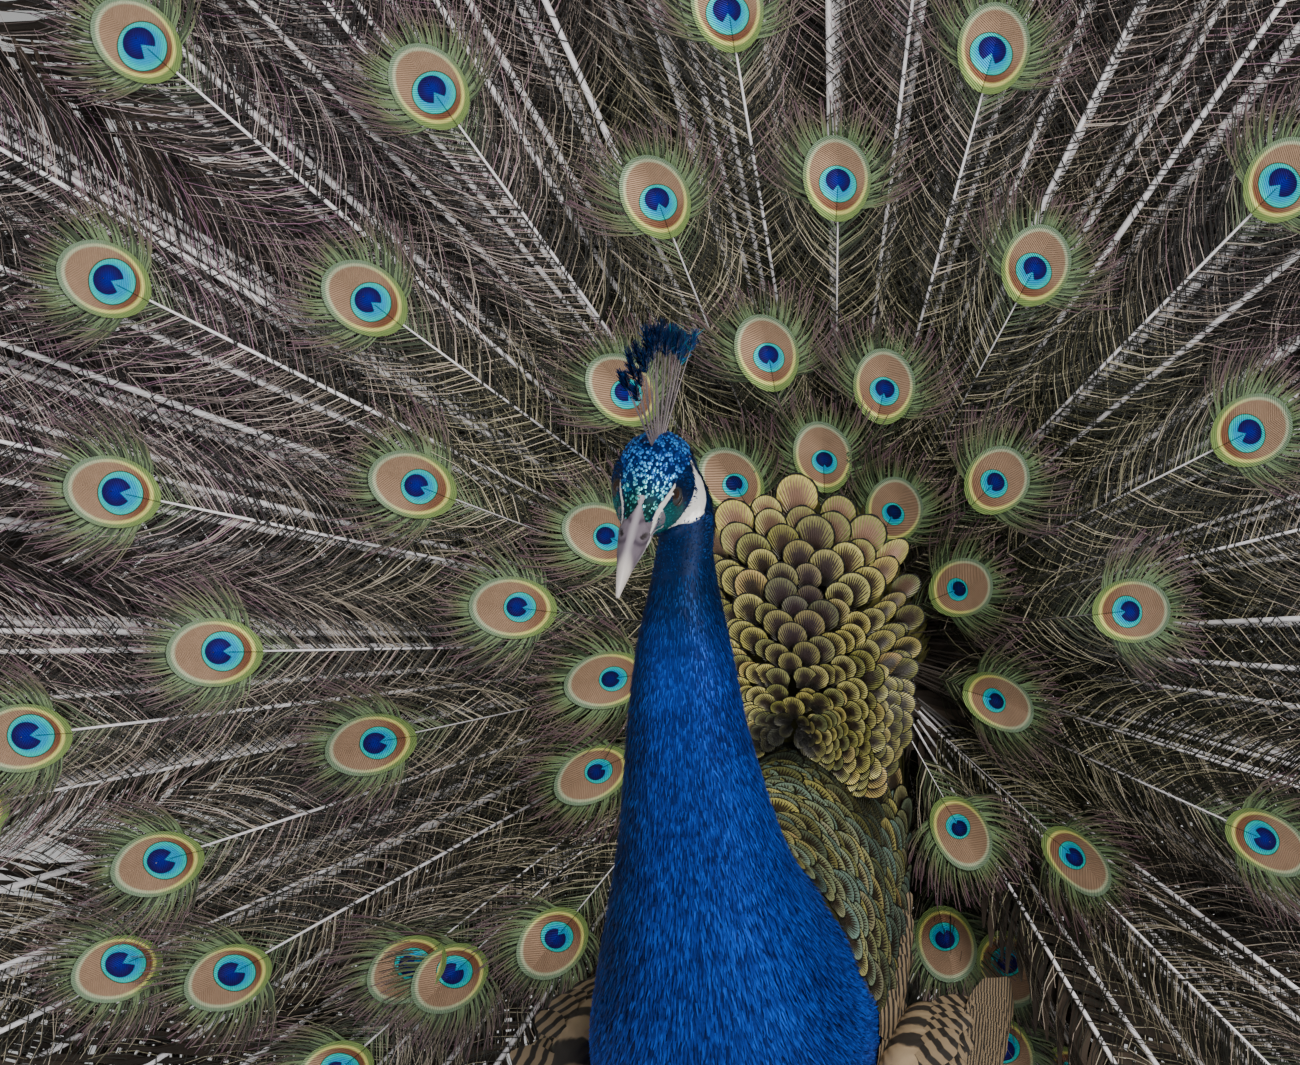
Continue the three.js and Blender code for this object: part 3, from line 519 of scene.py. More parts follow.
# ---------------------------------------------------------------- looks of the train
def barb_look():
    """Loose barbs in dull purple-browns and leafy greens. Round the eyespots they go from green to purple."""
    look = Look("barb_look", Roughness=0.42, Metallic=0.12, Specular_IOR_Level=0.55)
    tone = look.value("tone")
    patchy = look.noise(5.5, 2.0)
    aside, _, height = look.split(look.place())
    # Partly painted light: in both ramps the pale stops stand for barbs catching a highlight and the
    # near-black stops for barbs in shade, besides their real browns, purples and greens.
    plain = look.ramp(
        tone,
        (0.0, (0.006, 0.005, 0.005)), (0.5, (0.016, 0.012, 0.013)), (0.6, (0.10, 0.074, 0.070)),
        (0.76, (0.36, 0.28, 0.26)), (0.9, (0.70, 0.59, 0.54)), (1.0, (0.27, 0.13, 0.21)),
    )
    leafy = look.ramp(
        tone, (0.0, (0.006, 0.008, 0.004)), (0.48, (0.016, 0.020, 0.009)), (0.6, (0.10, 0.105, 0.045)),
        (0.8, (0.42, 0.40, 0.21)), (1.0, (0.70, 0.64, 0.42)),
    )
    middle = (0.46 - (aside ** 2.0 + (height - 0.5) ** 2.0) ** 0.5) * 2.6
    low = ((0.78 - height) * 1.3).high(middle) + (patchy - 0.5) * 1.5
    body = look.mix(low.step(0.1, 0.9) * 0.72, plain, leafy)
    fringe = look.ramp(
        look.value("along") + (tone - 0.5) * 0.35,
        (0.0, (0.22, 0.33, 0.17)), (0.3, (0.16, 0.235, 0.11)), (0.55, (0.145, 0.15, 0.075)),
        (0.75, (0.17, 0.125, 0.11)), (1.0, (0.13, 0.065, 0.09)),
    )
    # painted shade too: fringe barbs of low tone go near black
    fringe = look.mix(tone.step(0.52, 0.34) * 0.85, fringe, (0.012, 0.018, 0.010))
    return look.finish(look.mix(look.value("green"), body, fringe))


def web_look():
    """The dull barbs behind the shafts, seen through the others and from the back of the train."""
    look = Look("web_look", Roughness=0.7, Specular_IOR_Level=0.2)
    mottle = look.noise(30.0, 3.0)
    # The near-black browns are partly painted shade, for barbs deep in the layered train.
    colour = look.ramp(
        look.value("tone") * 0.7 + mottle * 0.4,
        (0.2, (0.010, 0.008, 0.007)), (0.55, (0.030, 0.023, 0.018)), (0.9, (0.095, 0.070, 0.052)),
    )
    return look.finish(colour, mottle, 0.2)


def rachis_look():
    look = Look("rachis_look", Roughness=0.38)
    grain = look.noise(60.0, 3.0)
    pale = look.mix(grain, (0.98, 0.96, 0.98), (0.80, 0.76, 0.78))
    return look.finish(look.mix(look.value("pale"), (0.05, 0.04, 0.034), pale), grain, 0.1)


BRONZE_WIDE, BRONZE_TALL = 15.8, 20.4  # half sizes of the eyespot's bronze oval
BRONZE_RISE = 5.0  # of its middle above the blue disc's


def eye_plate_look():
    """The eyespot: EyeMap is millimetres across and along from the disc's middle, at full size."""
    look = Look("eye_plate_look", Roughness=0.45, Metallic=0.35, Specular_IOR_Level=0.12)
    x, y = look.map("EyeMap")
    disc = look.value("disc")
    tone = look.value("tone")
    wobble = (look.noise(90.0, 2.0) - 0.5) * 1.2
    across = abs(x + (tone - 0.5) * 1.6) / disc
    up = y / disc
    round_disc = (across ** 2.0 + up ** 2.0) ** 0.5 + wobble * 0.35
    heart = (across ** 2.0 + (up - 2.3) ** 2.0) ** 0.5 + wobble * 0.5
    notch = (1.2 - up) * 0.72 - across + (disc - 1.0) * 9.0
    oval = ((x / BRONZE_WIDE) ** 2.0 + ((y - BRONZE_RISE) / BRONZE_TALL) ** 2.0) ** 0.5
    barbs = ((y * 0.9 - abs(x) * 0.55) * 5.2).sin() * 0.5 + 0.5
    streak = look.noise(220.0, 3.0)

    green = look.layers(
        (0.22, 0.32, 0.10),
        (y.step(-14.0, 22.0), (0.24, 0.34, 0.22)),
        ((abs(x) / 26.0).step(0.6, 1.0) * 0.6, (0.16, 0.15, 0.05)),
    )
    ring = look.mix(y.step(-8.0, 20.0), (0.86, 0.80, 0.22), (0.58, 0.62, 0.40))
    bronze = look.mix(y.step(-16.0, 8.0), (0.22, 0.085, 0.045), (0.40, 0.255, 0.165))
    bronze = look.mix(disc.step(0.9, 0.5) * 0.8, bronze, (0.42, 0.27, 0.17))
    turquoise = look.mix(round_disc.step(8.0, 12.0), (0.0, 0.40, 0.74), (0.0, 0.66, 0.62))
    indigo = look.mix(heart.step(0.0, 8.0), (0.010, 0.012, 0.30), (0.014, 0.006, 0.10))
    indigo = look.mix(disc.step(0.8, 0.5), indigo, (0.004, 0.012, 0.05))

    shaft = abs(x).step(0.5, 0.15) * y.step(-1.0, -4.0)
    colour = look.layers(
        green,
        (oval.step(1.14, 1.07), ring),
        (oval.step(1.05, 0.97), bronze),
        (round_disc.step(13.5, 12.9), (0.05, 0.06, 0.02)),
        (round_disc.step(12.9, 12.3), turquoise),
        (heart.step(8.7, 8.1) * notch.step(0.35, -0.35), indigo),
        (shaft * 0.7, (0.02, 0.015, 0.01)),
    )
    fade = barbs * 0.16 + streak * 0.3 + 0.68
    shade = look.node("ShaderNodeCombineColor", {0: fade, 1: fade, 2: fade})
    return look.finish(look.mix(1.0, colour, shade, "MULTIPLY"), barbs, 0.25)


# ---------------------------------------------------------------- the train's feathers
BARB_STEPS = 4
PLATE_RINGS, PLATE_SIDES = 7, 26
LOWEST = 3  # how near the floor a barb comes
FULL_REACH = 1300  # the height of the barbs' map
SCALE_SEED, CROWN_SEED, CREST_SEED, WING_SEED, TAIL_SEED = 21, 33, 41, 50, 61
TRAIN_SEED = 700
BACK_CLOSE_FROM = 560  # from here the barbs behind are closer and finer, as no other feathers overlap them
BACK_UNDER = 540  # where they start on the feathers of eyespots, under the shorter feathers
BACK_FROM = 40
INNER_REACH = 620  # feathers up to this reach need none behind them
SHAFT_FROM = 46
SHAFT_SIDES = 5


def barb_paths(lane, y0, x0, side, start, end, length, lift, rng):
    """Curved barbs from their roots: angles in degrees from the rachis, lengths, lift at the root and tip."""
    t = np.linspace(0, 1, BARB_STEPS)
    middle = (t[1:] + t[:-1]) / 2
    angle = np.radians(start[:, None] + (end - start)[:, None] * middle ** 0.8)
    step = (length / (BARB_STEPS - 1))[:, None]
    nothing = np.zeros((len(y0), 1))
    x = x0[:, None] + np.concatenate([nothing, np.cumsum(np.sin(angle) * step, 1)], 1)
    y = y0[:, None] + np.concatenate([nothing, np.cumsum(np.cos(angle) * step, 1)], 1)
    rise = lift[:, :1] + (lift[:, 1:] - lift[:, :1]) * t ** 1.4
    rise = rise + 0.5 * rng.standard_normal((len(y0), 1)) * t
    points = lane.at(x * side[:, None], y, rise)
    points[..., 2] = np.maximum(points[..., 2], LOWEST)
    return points


def shaft_radius(r, reach):
    """A rachis is thin where the back's scales cover its root, then thickest, then thin again at the tip."""
    thick = lerp(1.2, 2.45, smooth(reach / 640))
    return thick * (1 - 0.74 * (r / reach) ** 1.7) * lerp(0.28, 1, smooth((r - 70) / 270))


def back_barbs(lane, reach, kind, first, rng):
    """Broader dark barbs behind the shaft, closer together where no other feathers overlap them."""
    end = reach + (14 if kind == "eye" else -2)
    y = [first]
    while y[-1] < end:
        y.append(y[-1] + (7.5 if y[-1] < BACK_CLOSE_FROM else 4.8))
    y = np.repeat(np.array(y[:-1]), 2)
    n = len(y)
    side = np.tile([1.0, -1.0], n // 2)
    y = y + rng.uniform(-1, 1, n)
    near = smooth(1 - (end - y) / 90)
    length = lerp(62, 46, near) * lerp(0.35, 1, smooth(y / 330)) * rng.uniform(0.85, 1.15, n)
    length *= 1 - 0.55 * smooth((y - reach + 24) / 30)
    start = lerp(50, 40, near) + rng.normal(0, 4, n)
    stop = lerp(28, 14, near) + rng.normal(0, 6, n)
    lift = np.stack([np.full(n, -0.8), rng.uniform(-5.5, -1.5, n)], 1)
    paths = barb_paths(lane, y, 0.4 * shaft_radius(y, reach), side, start, stop, length, lift, rng)
    width = np.where(y < BACK_CLOSE_FROM, 2.3, 1.25) * rng.uniform(0.85, 1.2, n)
    return paths, tones(rng, n), width, y


def shaft_barbs(lane, angle, reach, kind, rng):
    """The loose barbs down both sides of a rachis."""
    end, first = reach - 6, 72
    if kind == "eye":
        end = reach - 17 * plate_scale(reach)
        first = min(max(0.15 * reach, 62), end - 20)
    sparse = 3.3 if reach < 640 or kind == "fish" else 3.4
    y, at = [], first
    while at < end:
        y.append(at)
        near = end - at
        at += 1.35 if near < 60 else 1.9 if near < 160 else sparse
    y = np.repeat(np.array(y), 2)
    n = len(y)
    side = np.tile([1.0, -1.0], n // 2)
    y = y + rng.uniform(-0.9, 0.9, n)
    near = smooth(1 - (end - y) / 75)
    wide = 0.62 if kind == "sickle" else 1.0
    length = wide * lerp(58, 64 if kind == "eye" else 46, near) * rng.uniform(0.8, 1.15, n)
    length *= lerp(0.62, 1, smooth(y / 260)) * (plate_scale(reach) if kind == "eye" else 1)
    start = lerp(64, 54, near) + rng.normal(0, 4, n)
    stop = lerp(20, 13 if kind == "eye" else 26, near) + rng.normal(0, 7, n)
    # The tone alternates pale and dark barbs, partly real and partly painted highlight and shade.
    tone = 0.49 + 0.2 * np.sin(y * 1.25 + side * 0.7 + reach) + rng.normal(0, 0.27, n)
    tone -= 0.05 * math.sin(math.radians(angle))
    tone = np.clip(tone, 0, 1)
    quill = shaft_radius(y, reach)
    over = (tone < 0.34) * (near < 0.2)  # these dark barbs lie across the shaft
    lift = np.stack([np.where(over, quill + 1.5, 0.2), rng.uniform(1.0, 6.5, n) * (1 - 0.5 * near)], 1)
    paths = barb_paths(lane, y, np.where(over, -1.5, 0.7) * quill, side, start, stop, length, lift, rng)
    green = smooth(1 - (end - y) / 34) if kind == "eye" else 0.6 * smooth(1 - (end - y) / 160)
    width = np.where(tone > 0.5, 0.23, 0.33) * rng.uniform(0.85, 1.15, n)
    return paths, tone, green, width, y


def fringe_barbs(lane, reach, rng):
    """The green barbs that spray out from the rim of an eyespot."""
    k = plate_scale(reach)
    n = int(170 * k)
    turn = np.radians(np.linspace(-158, 158, n) + rng.normal(0, 1.5, n))
    side = np.sign(turn)
    turn = np.abs(turn)
    rim = rng.uniform(0.98, 1.1, n) * k
    x = BRONZE_WIDE * rim * np.sin(turn)
    y = reach + BRONZE_RISE * k + BRONZE_TALL * rim * np.cos(turn)
    heading = np.degrees(turn)
    start = np.clip(heading * 0.62 + rng.normal(0, 5, n), 0, 95)
    stop = np.clip(start * 0.45 + rng.normal(0, 7, n), -8, 60)
    length = k * lerp(22, 40, smooth(heading / 120)) * rng.uniform(0.75, 1.2, n)
    lift = np.stack([np.full(n, 2.4), rng.uniform(0.5, 5.0, n)], 1)
    paths = barb_paths(lane, y, x, side, start, stop, length, lift, rng)
    return paths, tones(rng, n), np.ones(n), np.full(n, 0.44), y


def plate(lane, reach, rng):
    """The eyespot's web: a slightly cupped oval, as rings of points round the middle of the bronze."""
    k = plate_scale(reach)
    turn = turns(PLATE_SIDES)
    ring = np.linspace(0.02, 1.24, PLATE_RINGS)[:, None]
    x = BRONZE_WIDE * ring * np.sin(turn)
    y = BRONZE_RISE + BRONZE_TALL * ring * np.cos(turn) * np.where(np.cos(turn) < 0, 1.05, 1.0)
    cup = 1.6 + 0.0045 * (x * x + (y - BRONZE_RISE) ** 2) * rng.uniform(0.6, 1.3)
    cup = cup + 0.5 * np.sin(3 * turn) * ring
    points = lane.at(x * k, reach + y * k, cup * k + 0.8)
    return points.reshape(-1, 3), join(x, y).reshape(-1, 2)


def barb_mesh(lane, paths, half, y, place, values):
    """Barbs as ribbons that face the train's front, with their maps and numbers."""
    _, _, front = lane.read(np.repeat(y[:, None], BARB_STEPS, 1))
    points, faces = ribbons(paths, half, front)
    root = np.stack([place + 0 * y, y / FULL_REACH], -1)
    return points, faces, {"OFBake": ribbon_map(root, BARB_STEPS)}, each(values, BARB_STEPS * 2)


def train_piece(name, start, end, number, replaces=()):
    """All feathers of one sector, as its barbs, rachises, webs and eyespots."""
    rng = np.random.default_rng(TRAIN_SEED + number)
    barbs, shafts, webs, plates = Parts(), Parts(), Parts(), Parts()
    own = [f for f in FEATHERS if start < f[0] < end]
    t = np.linspace(0, 1, BARB_STEPS)
    for count, (angle, reach, kind) in enumerate(own):
        lane = Lane(angle, reach)
        place = (angle - start) / (end - start)
        eye = kind == "eye"
        sets = [shaft_barbs(lane, angle, reach, kind, rng)]
        if eye:
            sets.append(fringe_barbs(lane, reach, rng))
        for paths, tone, green, width, y in sets:
            half = width[:, None] * (1 - 0.55 * t)
            made = barb_mesh(lane, paths, half, y, place, {"tone": tone, "green": green})
            made[3]["along"] = np.tile(np.repeat(t, 2), len(y))
            barbs.add(*made)

        last = reach - 6 * plate_scale(reach) if eye else reach - 8
        r = np.linspace(SHAFT_FROM, last, max(6, int(last / 70)))
        points, faces = tubes(lane.at(0 * r, r, 0.8 + 0 * r)[None], shaft_radius(r, reach)[None], SHAFT_SIDES)
        points[:, 2] = np.maximum(points[:, 2], LOWEST)
        pale = np.maximum(smooth((r - 110) / 150), smooth((abs(angle) - 120) / 14))
        shafts.add(points, faces, {}, each({"pale": pale}, SHAFT_SIDES))

        lowest = abs(angle) > 150
        if not eye or reach > INNER_REACH or lowest:
            first = float(BACK_UNDER if eye and not lowest else BACK_FROM)
            paths, tone, width, y = back_barbs(lane, reach, kind, first, rng)
            half = width[:, None] * np.interp(t, [0, 0.6, 1], [0.8, 1, 0.25])
            webs.add(*barb_mesh(lane, paths, half, y, place, {"tone": tone}))
        if eye:
            points, eye_map = plate(lane, reach, rng)
            across = math.ceil(math.sqrt(len(own)))
            cell = np.array([count % across, count // across])
            maps = {"EyeMap": eye_map, "OFBake": (cell + (eye_map / 56 + 0.5) * 0.9 + 0.05) / across}
            values = {"disc": disc_scale(reach) / plate_scale(reach), "tone": rng.random()}
            plates.add(points, grid_faces(1, PLATE_RINGS, PLATE_SIDES, True), maps, values)
    barbs.make(f"{name}_barbs", BARB, "train_feathers", replaces)
    shafts.make(f"{name}_shafts", RACHIS, "train_feathers")
    if webs.count:
        webs.make(f"{name}_webs", WEB, "train_feathers")
    plates.make(f"{name}_eyes", EYE_PLATE, "train_feathers")


BARB = barb_look()
RACHIS = rachis_look()
WEB = web_look()
EYE_PLATE = eye_plate_look()
for sector_number, (sector, sector_start, sector_end) in enumerate(SECTORS):
    train_piece(sector, sector_start, sector_end, sector_number, [sector])
train_piece("train_right_under", -172, -150.5, 6)
train_piece("train_left_under", 150.5, 172, 7)

# ---------------------------------------------------------------- shapes of the body
# Sections from the nape or back line to the throat or belly line: back y, z, front y, z, half width, x.
STATIONS = [
    [-238, 662, -262, 648, 13, 4], [-236, 632, -278, 622, 16.5, 4.5], [-236, 592, -281, 586, 24.5, 5],
    [-222, 556, -279, 543, 30, 5], [-203, 522, -272, 499, 36, 6], [-187, 497, -268, 463, 42, 7],
    [-168, 478, -263, 424, 49, 7.5], [-144, 464, -252, 372, 57, 7], [-114, 457, -225, 318, 65, 5.5],
    [-82, 455, -180, 284, 68, 3.5], [-50, 454, -120, 268, 67, 1.5], [-18, 453, -55, 265, 64, 0],
    [14, 452, 8, 273, 58, 0], [44, 454, 62, 298, 51, 0], [62, 466, 106, 338, 46, 0],
    [72, 486, 134, 386, 42, 0], [78, 510, 148, 438, 42, 0], [84, 530, 144, 490, 40, 0],
    [98, 538, 128, 522, 24, 0],
]
LAST_STATION = len(STATIONS) - 1
# Sections of the head and bill: place along s, middle u, half width, height above and below.
HEAD_SECTIONS = [
    [67, -9.5, 0.7, 0.9, 0.7], [64, -7.2, 2.0, 2.0, 1.6], [56, -4.2, 4.0, 4.0, 3.2],
    [45, -2.2, 5.6, 6.0, 4.8], [34, -1.2, 7.0, 7.6, 6.2], [23, -0.6, 9.4, 9.6, 8.4],
    [16, 0, 12.6, 12.8, 13.0], [8, 0, 16.0, 16.0, 17.0], [-1, 0, 18.6, 18.8, 20.0],
    [-11, 0, 19.6, 20.4, 21.5], [-21, 0, 18.4, 19.0, 20.5], [-29, 0, 14.6, 15.0, 17.0],
    [-34, 0, 7.6, 8.0, 9.0],
]
BILL_BASE_SECTION = 5
CHEEK_FULLNESS = 0.8
RUMP_SECTIONS = [  # z, half width, front y, back y
    [446, 56, 14, 72], [470, 58, 11, 78], [500, 58, 11, 77],
    [530, 54, 12, 74], [560, 46, 15, 67], [584, 33, 19, 57],
]
HOCK = np.array([47.0, 40, 160])
KNEE_TOP = np.array([41.0, -24, 330])
ANKLE_Z = 20
SKIN_DEPTH = 2.5  # of the skin under the solids, as deep as the coat

# The head's own frame: s along the bill, t to its left side, u to the crown.
HEAD = np.array([-11.0, -262, 663])
HEAD_PITCH = math.radians(21)
HEAD_ROLL = math.radians(6)
heading = np.array([0.0, -1, 0])
head_s = heading * math.cos(HEAD_PITCH) - UP * math.sin(HEAD_PITCH)
upright = heading * math.sin(HEAD_PITCH) + UP * math.cos(HEAD_PITCH)
head_u = upright * math.cos(HEAD_ROLL) + np.cross(upright, head_s) * math.sin(HEAD_ROLL)
head_t = np.cross(head_u, head_s)
HEAD_AXES = np.stack([head_s, head_t, head_u])


def head_point(s, t, u):
    return HEAD + join(s, t, u) @ HEAD_AXES


def in_head(points):
    """The s, t, u of points."""
    return ((points - HEAD) @ HEAD_AXES.T).T


def spline(rows, count):
    """Rows of numbers read smoothly at count even places."""
    rows = np.asarray(rows, float)
    padded = np.concatenate([2 * rows[:1] - rows[1:2], rows, 2 * rows[-1:] - rows[-2:-1]])
    at = np.linspace(0, len(rows) - 1, count)
    i = np.minimum(at.astype(int), len(rows) - 2)
    t = (at - i)[:, None]
    a, b, c, d = (padded[i + k] for k in range(4))
    square = 2 * a - 5 * b + 4 * c - d
    cube = 3 * b - a - 3 * c + d
    return 0.5 * (2 * b + (c - a) * t + square * t ** 2 + cube * t ** 3)


def loft(rings):
    """A closed mesh through rings (n, sides, 3), each end closed by a fan."""
    n, sides = rings.shape[:2]
    points = np.concatenate([rings.reshape(-1, 3), rings[[0, -1]].mean(1)])
    j = np.arange(sides)
    k = (j + 1) % sides
    first = np.stack([k, j, np.full(sides, n * sides)], -1)
    last = np.stack([j + (n - 1) * sides, k + (n - 1) * sides, np.full(sides, n * sides + 1)], -1)
    return points, [grid_faces(1, n, sides, True), np.concatenate([first, last])]


BODY_TABLE = spline(STATIONS, 181)


def body_at(q, turn, grow=0.0):
    """A point of the body's surface: station number, turn round the section from its left, growth."""
    columns = [np.interp(q, np.linspace(0, LAST_STATION, len(BODY_TABLE)), c) for c in BODY_TABLE.T]
    back_y, back_z, front_y, front_z, half, x = columns
    back = join(x, back_y, back_z)
    front = join(x, front_y, front_z)
    up = (back - front) / 2
    depth = np.linalg.norm(up, axis=-1) + grow
    wide = (half + grow) * np.cos(turn) * (1 - 0.16 * np.sin(turn))
    return (back + front) / 2 + unit(up) * (depth * np.sin(turn))[..., None] + join(wide, 0, 0)


def body_frame(q, turn, grow=0.0):
    """The point, the lie towards the tail, the direction across and the outward normal."""
    point = body_at(q, turn, grow)
    after = body_at(np.minimum(q + 0.05, LAST_STATION), turn, grow)
    lie = unit(after - body_at(np.maximum(q - 0.05, 0), turn, grow))
    across = unit(body_at(q, turn + 0.02, grow) - body_at(q, turn - 0.02, grow))
    across = tangent(across, lie)
    return point, lie, across, unit(np.cross(lie, across))


def head_rings(rows, sides, shrink):
    """Rings of the head's surface from rows like HEAD_SECTIONS."""
    s, middle, half, above, below = rows.T[:, :, None]
    turn = turns(sides)
    high = np.sin(turn)
    wide = np.cos(turn)
    full = np.where(high > 0, wide, np.sign(wide) * abs(wide) ** CHEEK_FULLNESS)
    return head_point(s, (half - shrink) * full, middle + high * (np.where(high > 0, above, below) - shrink))


def level_rings(steps, sides=24):
    """Level ellipses as x, y, z, half width, half depth."""
    x, y, z, half, depth = np.asarray(steps, float).T[:, :, None]
    turn = turns(sides)
    return join(x + half * np.cos(turn), y + depth * np.sin(turn), z)


def ellipsoid(middle, radii, tilt=0.0):
    """A closed egg, turned about the x axis by tilt degrees."""
    lift = np.linspace(-0.5, 0.5, 24)[:, None] * math.pi * 0.98
    turn = turns(32)
    x = np.cos(lift) * np.cos(turn) * radii[0]
    y = np.cos(lift) * np.sin(turn) * radii[1]
    z = np.sin(lift) * radii[2] + 0 * turn
    c, s = math.cos(math.radians(tilt)), math.sin(math.radians(tilt))
    return np.array(middle) + np.stack([x, y * c - z * s, y * s + z * c], -1)


def thigh_rings(side, grow):
    share = np.array([0.0, 0.2, 0.4, 0.62, 0.82, 0.95, 1.0])
    half = np.array([30, 29, 25, 19, 13, 9.5, 8.5]) + grow
    depth = np.array([52, 50, 42, 30, 19, 12, 10]) + grow
    place = KNEE_TOP + (HOCK - KNEE_TOP) * share[:, None]
    place[:, 0] *= side
    return level_rings(spline(np.column_stack([place, half, depth]), 30))


# ---------------------------------------------------------------- the skin
VOXEL = 2.6
RUMP_RECESS = 15  # how far the raised scales stand in front of the rump's skin


def skin_shapes():
    """Closed shapes that overlap: body, head, rump, nape, vent, the roots of train and tail, and thighs."""
    body = body_at(np.linspace(0, LAST_STATION, 90)[:, None], turns(48), -SKIN_DEPTH)
    head_rows = spline(HEAD_SECTIONS[BILL_BASE_SECTION - 1:], 44)
    rump = [[0, (y0 + y1 + RUMP_RECESS) / 2, z - 14, half - 12, (y1 - y0 - RUMP_RECESS) / 2 - 3]
            for z, half, y0, y1 in RUMP_SECTIONS]
    eggs = [
        ((2.4, -244, 645), (12.6, 12.5, 31), 14), ((0, 128, 352), (37, 41, 58), -20),
        ((0, 112, 482), (46, 20, 48)), ((0, 158, 484), (34, 15, 27)),
    ]
    shapes = [body, head_rings(head_rows, 48, 0.9), level_rings(spline(rump, 30), 40)]
    return shapes + [ellipsoid(*egg) for egg in eggs] + [thigh_rings(side, -3.0) for side in (-1, 1)]


def make_skin():
    """One closed surface over all nodes of flesh, as points and triangles in design sizes."""
    parts = Parts()
    for rings in skin_shapes():
        points, faces = loft(rings)
        parts.points.append(points)
        parts.faces += [f + parts.count for f in faces]
        parts.count += len(points)
    rough = piece("skin", np.concatenate(parts.points), parts.faces, BARB)
    remesh = rough.modifiers.new("join", "REMESH")
    remesh.mode = "VOXEL"
    remesh.voxel_size = VOXEL * MM
    ease = rough.modifiers.new("ease", "SMOOTH")
    ease.factor = 0.5
    ease.iterations = 7
    graph = bpy.context.evaluated_depsgraph_get()
    joined = rough.evaluated_get(graph).to_mesh()
    joined.calc_loop_triangles()
    points = np.zeros(len(joined.vertices) * 3, np.float32)
    joined.vertices.foreach_get("co", points)
    triangles = np.zeros(len(joined.loop_triangles) * 3, np.int32)
    joined.loop_triangles.foreach_get("vertices", triangles)
    rough.to_mesh_clear()
    bpy.data.objects.remove(rough)
    return points.reshape(-1, 3).astype(float) / MM - SHIFT, triangles.reshape(-1, 3)


def refine(points, triangles, chosen):
    """Splits the chosen triangles in four, and their neighbours to match."""
    edges = np.sort(np.concatenate([triangles[:, [0, 1]], triangles[:, [1, 2]], triangles[:, [2, 0]]]), 1)
    keys, back = np.unique(edges, axis=0, return_inverse=True)
    back = back.reshape(3, -1).T
    cut = np.zeros(len(keys), bool)
    cut[back[chosen].ravel()] = True
    number = np.full(len(keys), -1)
    number[cut] = len(points) + np.arange(cut.sum())
    points = np.concatenate([points, points[keys[cut]].mean(1)])
    middle = number[back]
    count = (middle >= 0).sum(1)
    made = [triangles[count == 0]]
    (a, b, c), (ab, bc, ca) = triangles[count == 3].T, middle[count == 3].T
    made += [np.stack(t, -1) for t in ((a, ab, ca), (ab, b, bc), (ca, bc, c), (ab, bc, ca))]
    for turn in range(3):
        tri = np.roll(triangles, -turn, 1)
        mid = np.roll(middle, -turn, 1)
        one = (count == 1) & (mid[:, 0] >= 0)
        (a, b, c), m = tri[one].T, mid[one, 0]
        made += [np.stack([a, m, c], -1), np.stack([m, b, c], -1)]
        two = (count == 2) & (mid[:, 2] < 0)
        (a, b, c), (m, n, _) = tri[two].T, mid[two].T
        made += [np.stack([a, m, c], -1), np.stack([m, n, c], -1), np.stack([m, b, n], -1)]
    return points, np.concatenate(made)


class Surface:
    """The skin as triangles, from which roots are scattered evenly."""

    def __init__(self, points, triangles):
        self.points, self.triangles = points, triangles
        a, b, c = (points[triangles[:, k]] for k in range(3))
        normal = np.cross(b - a, c - a)
        self.area = np.linalg.norm(normal, axis=1) / 2
        self.middle = (a + b + c) / 3
        self.normals = np.zeros_like(points)
        for k in range(3):
            np.add.at(self.normals, triangles[:, k], normal)
        self.normals = unit(self.normals)

    def scatter(self, spacing, where, rng):
        """Roots and normals, about one to each square of spacing, where(middles) is more than nothing."""
        share = self.area * where(self.middle) / spacing ** 2
        total = np.cumsum(share)
        marks = np.arange(int(total[-1])) + rng.random()
        face = self.triangles[np.minimum(np.searchsorted(total, marks), len(total) - 1)]
        a, b = rng.random((2, len(face)))
        over = a + b > 1
        a, b = np.where(over, 1 - a, a), np.where(over, 1 - b, b)
        weights = np.stack([1 - a - b, a, b], -1)[..., None]
        return (self.points[face] * weights).sum(1), unit((self.normals[face] * weights).sum(1))


AXIS_Q = np.linspace(0, LAST_STATION, 91)
back_line, belly_line = (body_at(AXIS_Q, turn * math.pi / 2) for turn in (1, -1))
AXIS = (back_line + belly_line) / 2
AXIS_UP = unit(back_line - belly_line)
AXIS_LIE = unit(np.gradient(AXIS, axis=0))
BATCH = 20000  # points at a time, to spare memory


def along_body(points):
    """The station number, the turn round the body and the lie of the coat at points."""
    nearest = np.empty(len(points), int)
    for start in range(0, len(points), BATCH):
        some = points[start:start + BATCH]
        nearest[start:start + BATCH] = ((some[:, None] - AXIS) ** 2).sum(-1).argmin(1)
    off = points - AXIS[nearest]
    turn = np.arctan2((off * AXIS_UP[nearest]).sum(-1), off[:, 0])
    return AXIS_Q[nearest], turn, AXIS_LIE[nearest]


# ---------------------------------------------------------------- marks of the face
# Strokes as places [s, u, half width].
WHITE_STRIPE = [
    [36, -2.6, 1.0], [28, 0.3, 1.3], [23, 2.9, 1.2], [17.6, 5.9, 1.0],
    [12, 7.6, 0.95], [7, 9.0, 0.7], [4, 10.2, 0.2],
]
WHITE_CRESCENT = [
    [-17, 10.6, 0.3], [-14.4, 8.2, 1.5], [-11.6, 4.4, 2.7], [-9.6, 0.2, 3.3],
    [-6.4, -3.8, 3.4], [-2.2, -7.2, 2.9], [3.0, -9.8, 2.0], [9.0, -11.6, 0.4],
]
EYE = np.array([5.4, 10.9, 3.9])  # s, t and u of its middle
EYE_RADIUS = 5.4
OUTSIDE = 9  # millimetres outside a mark, where there is none near


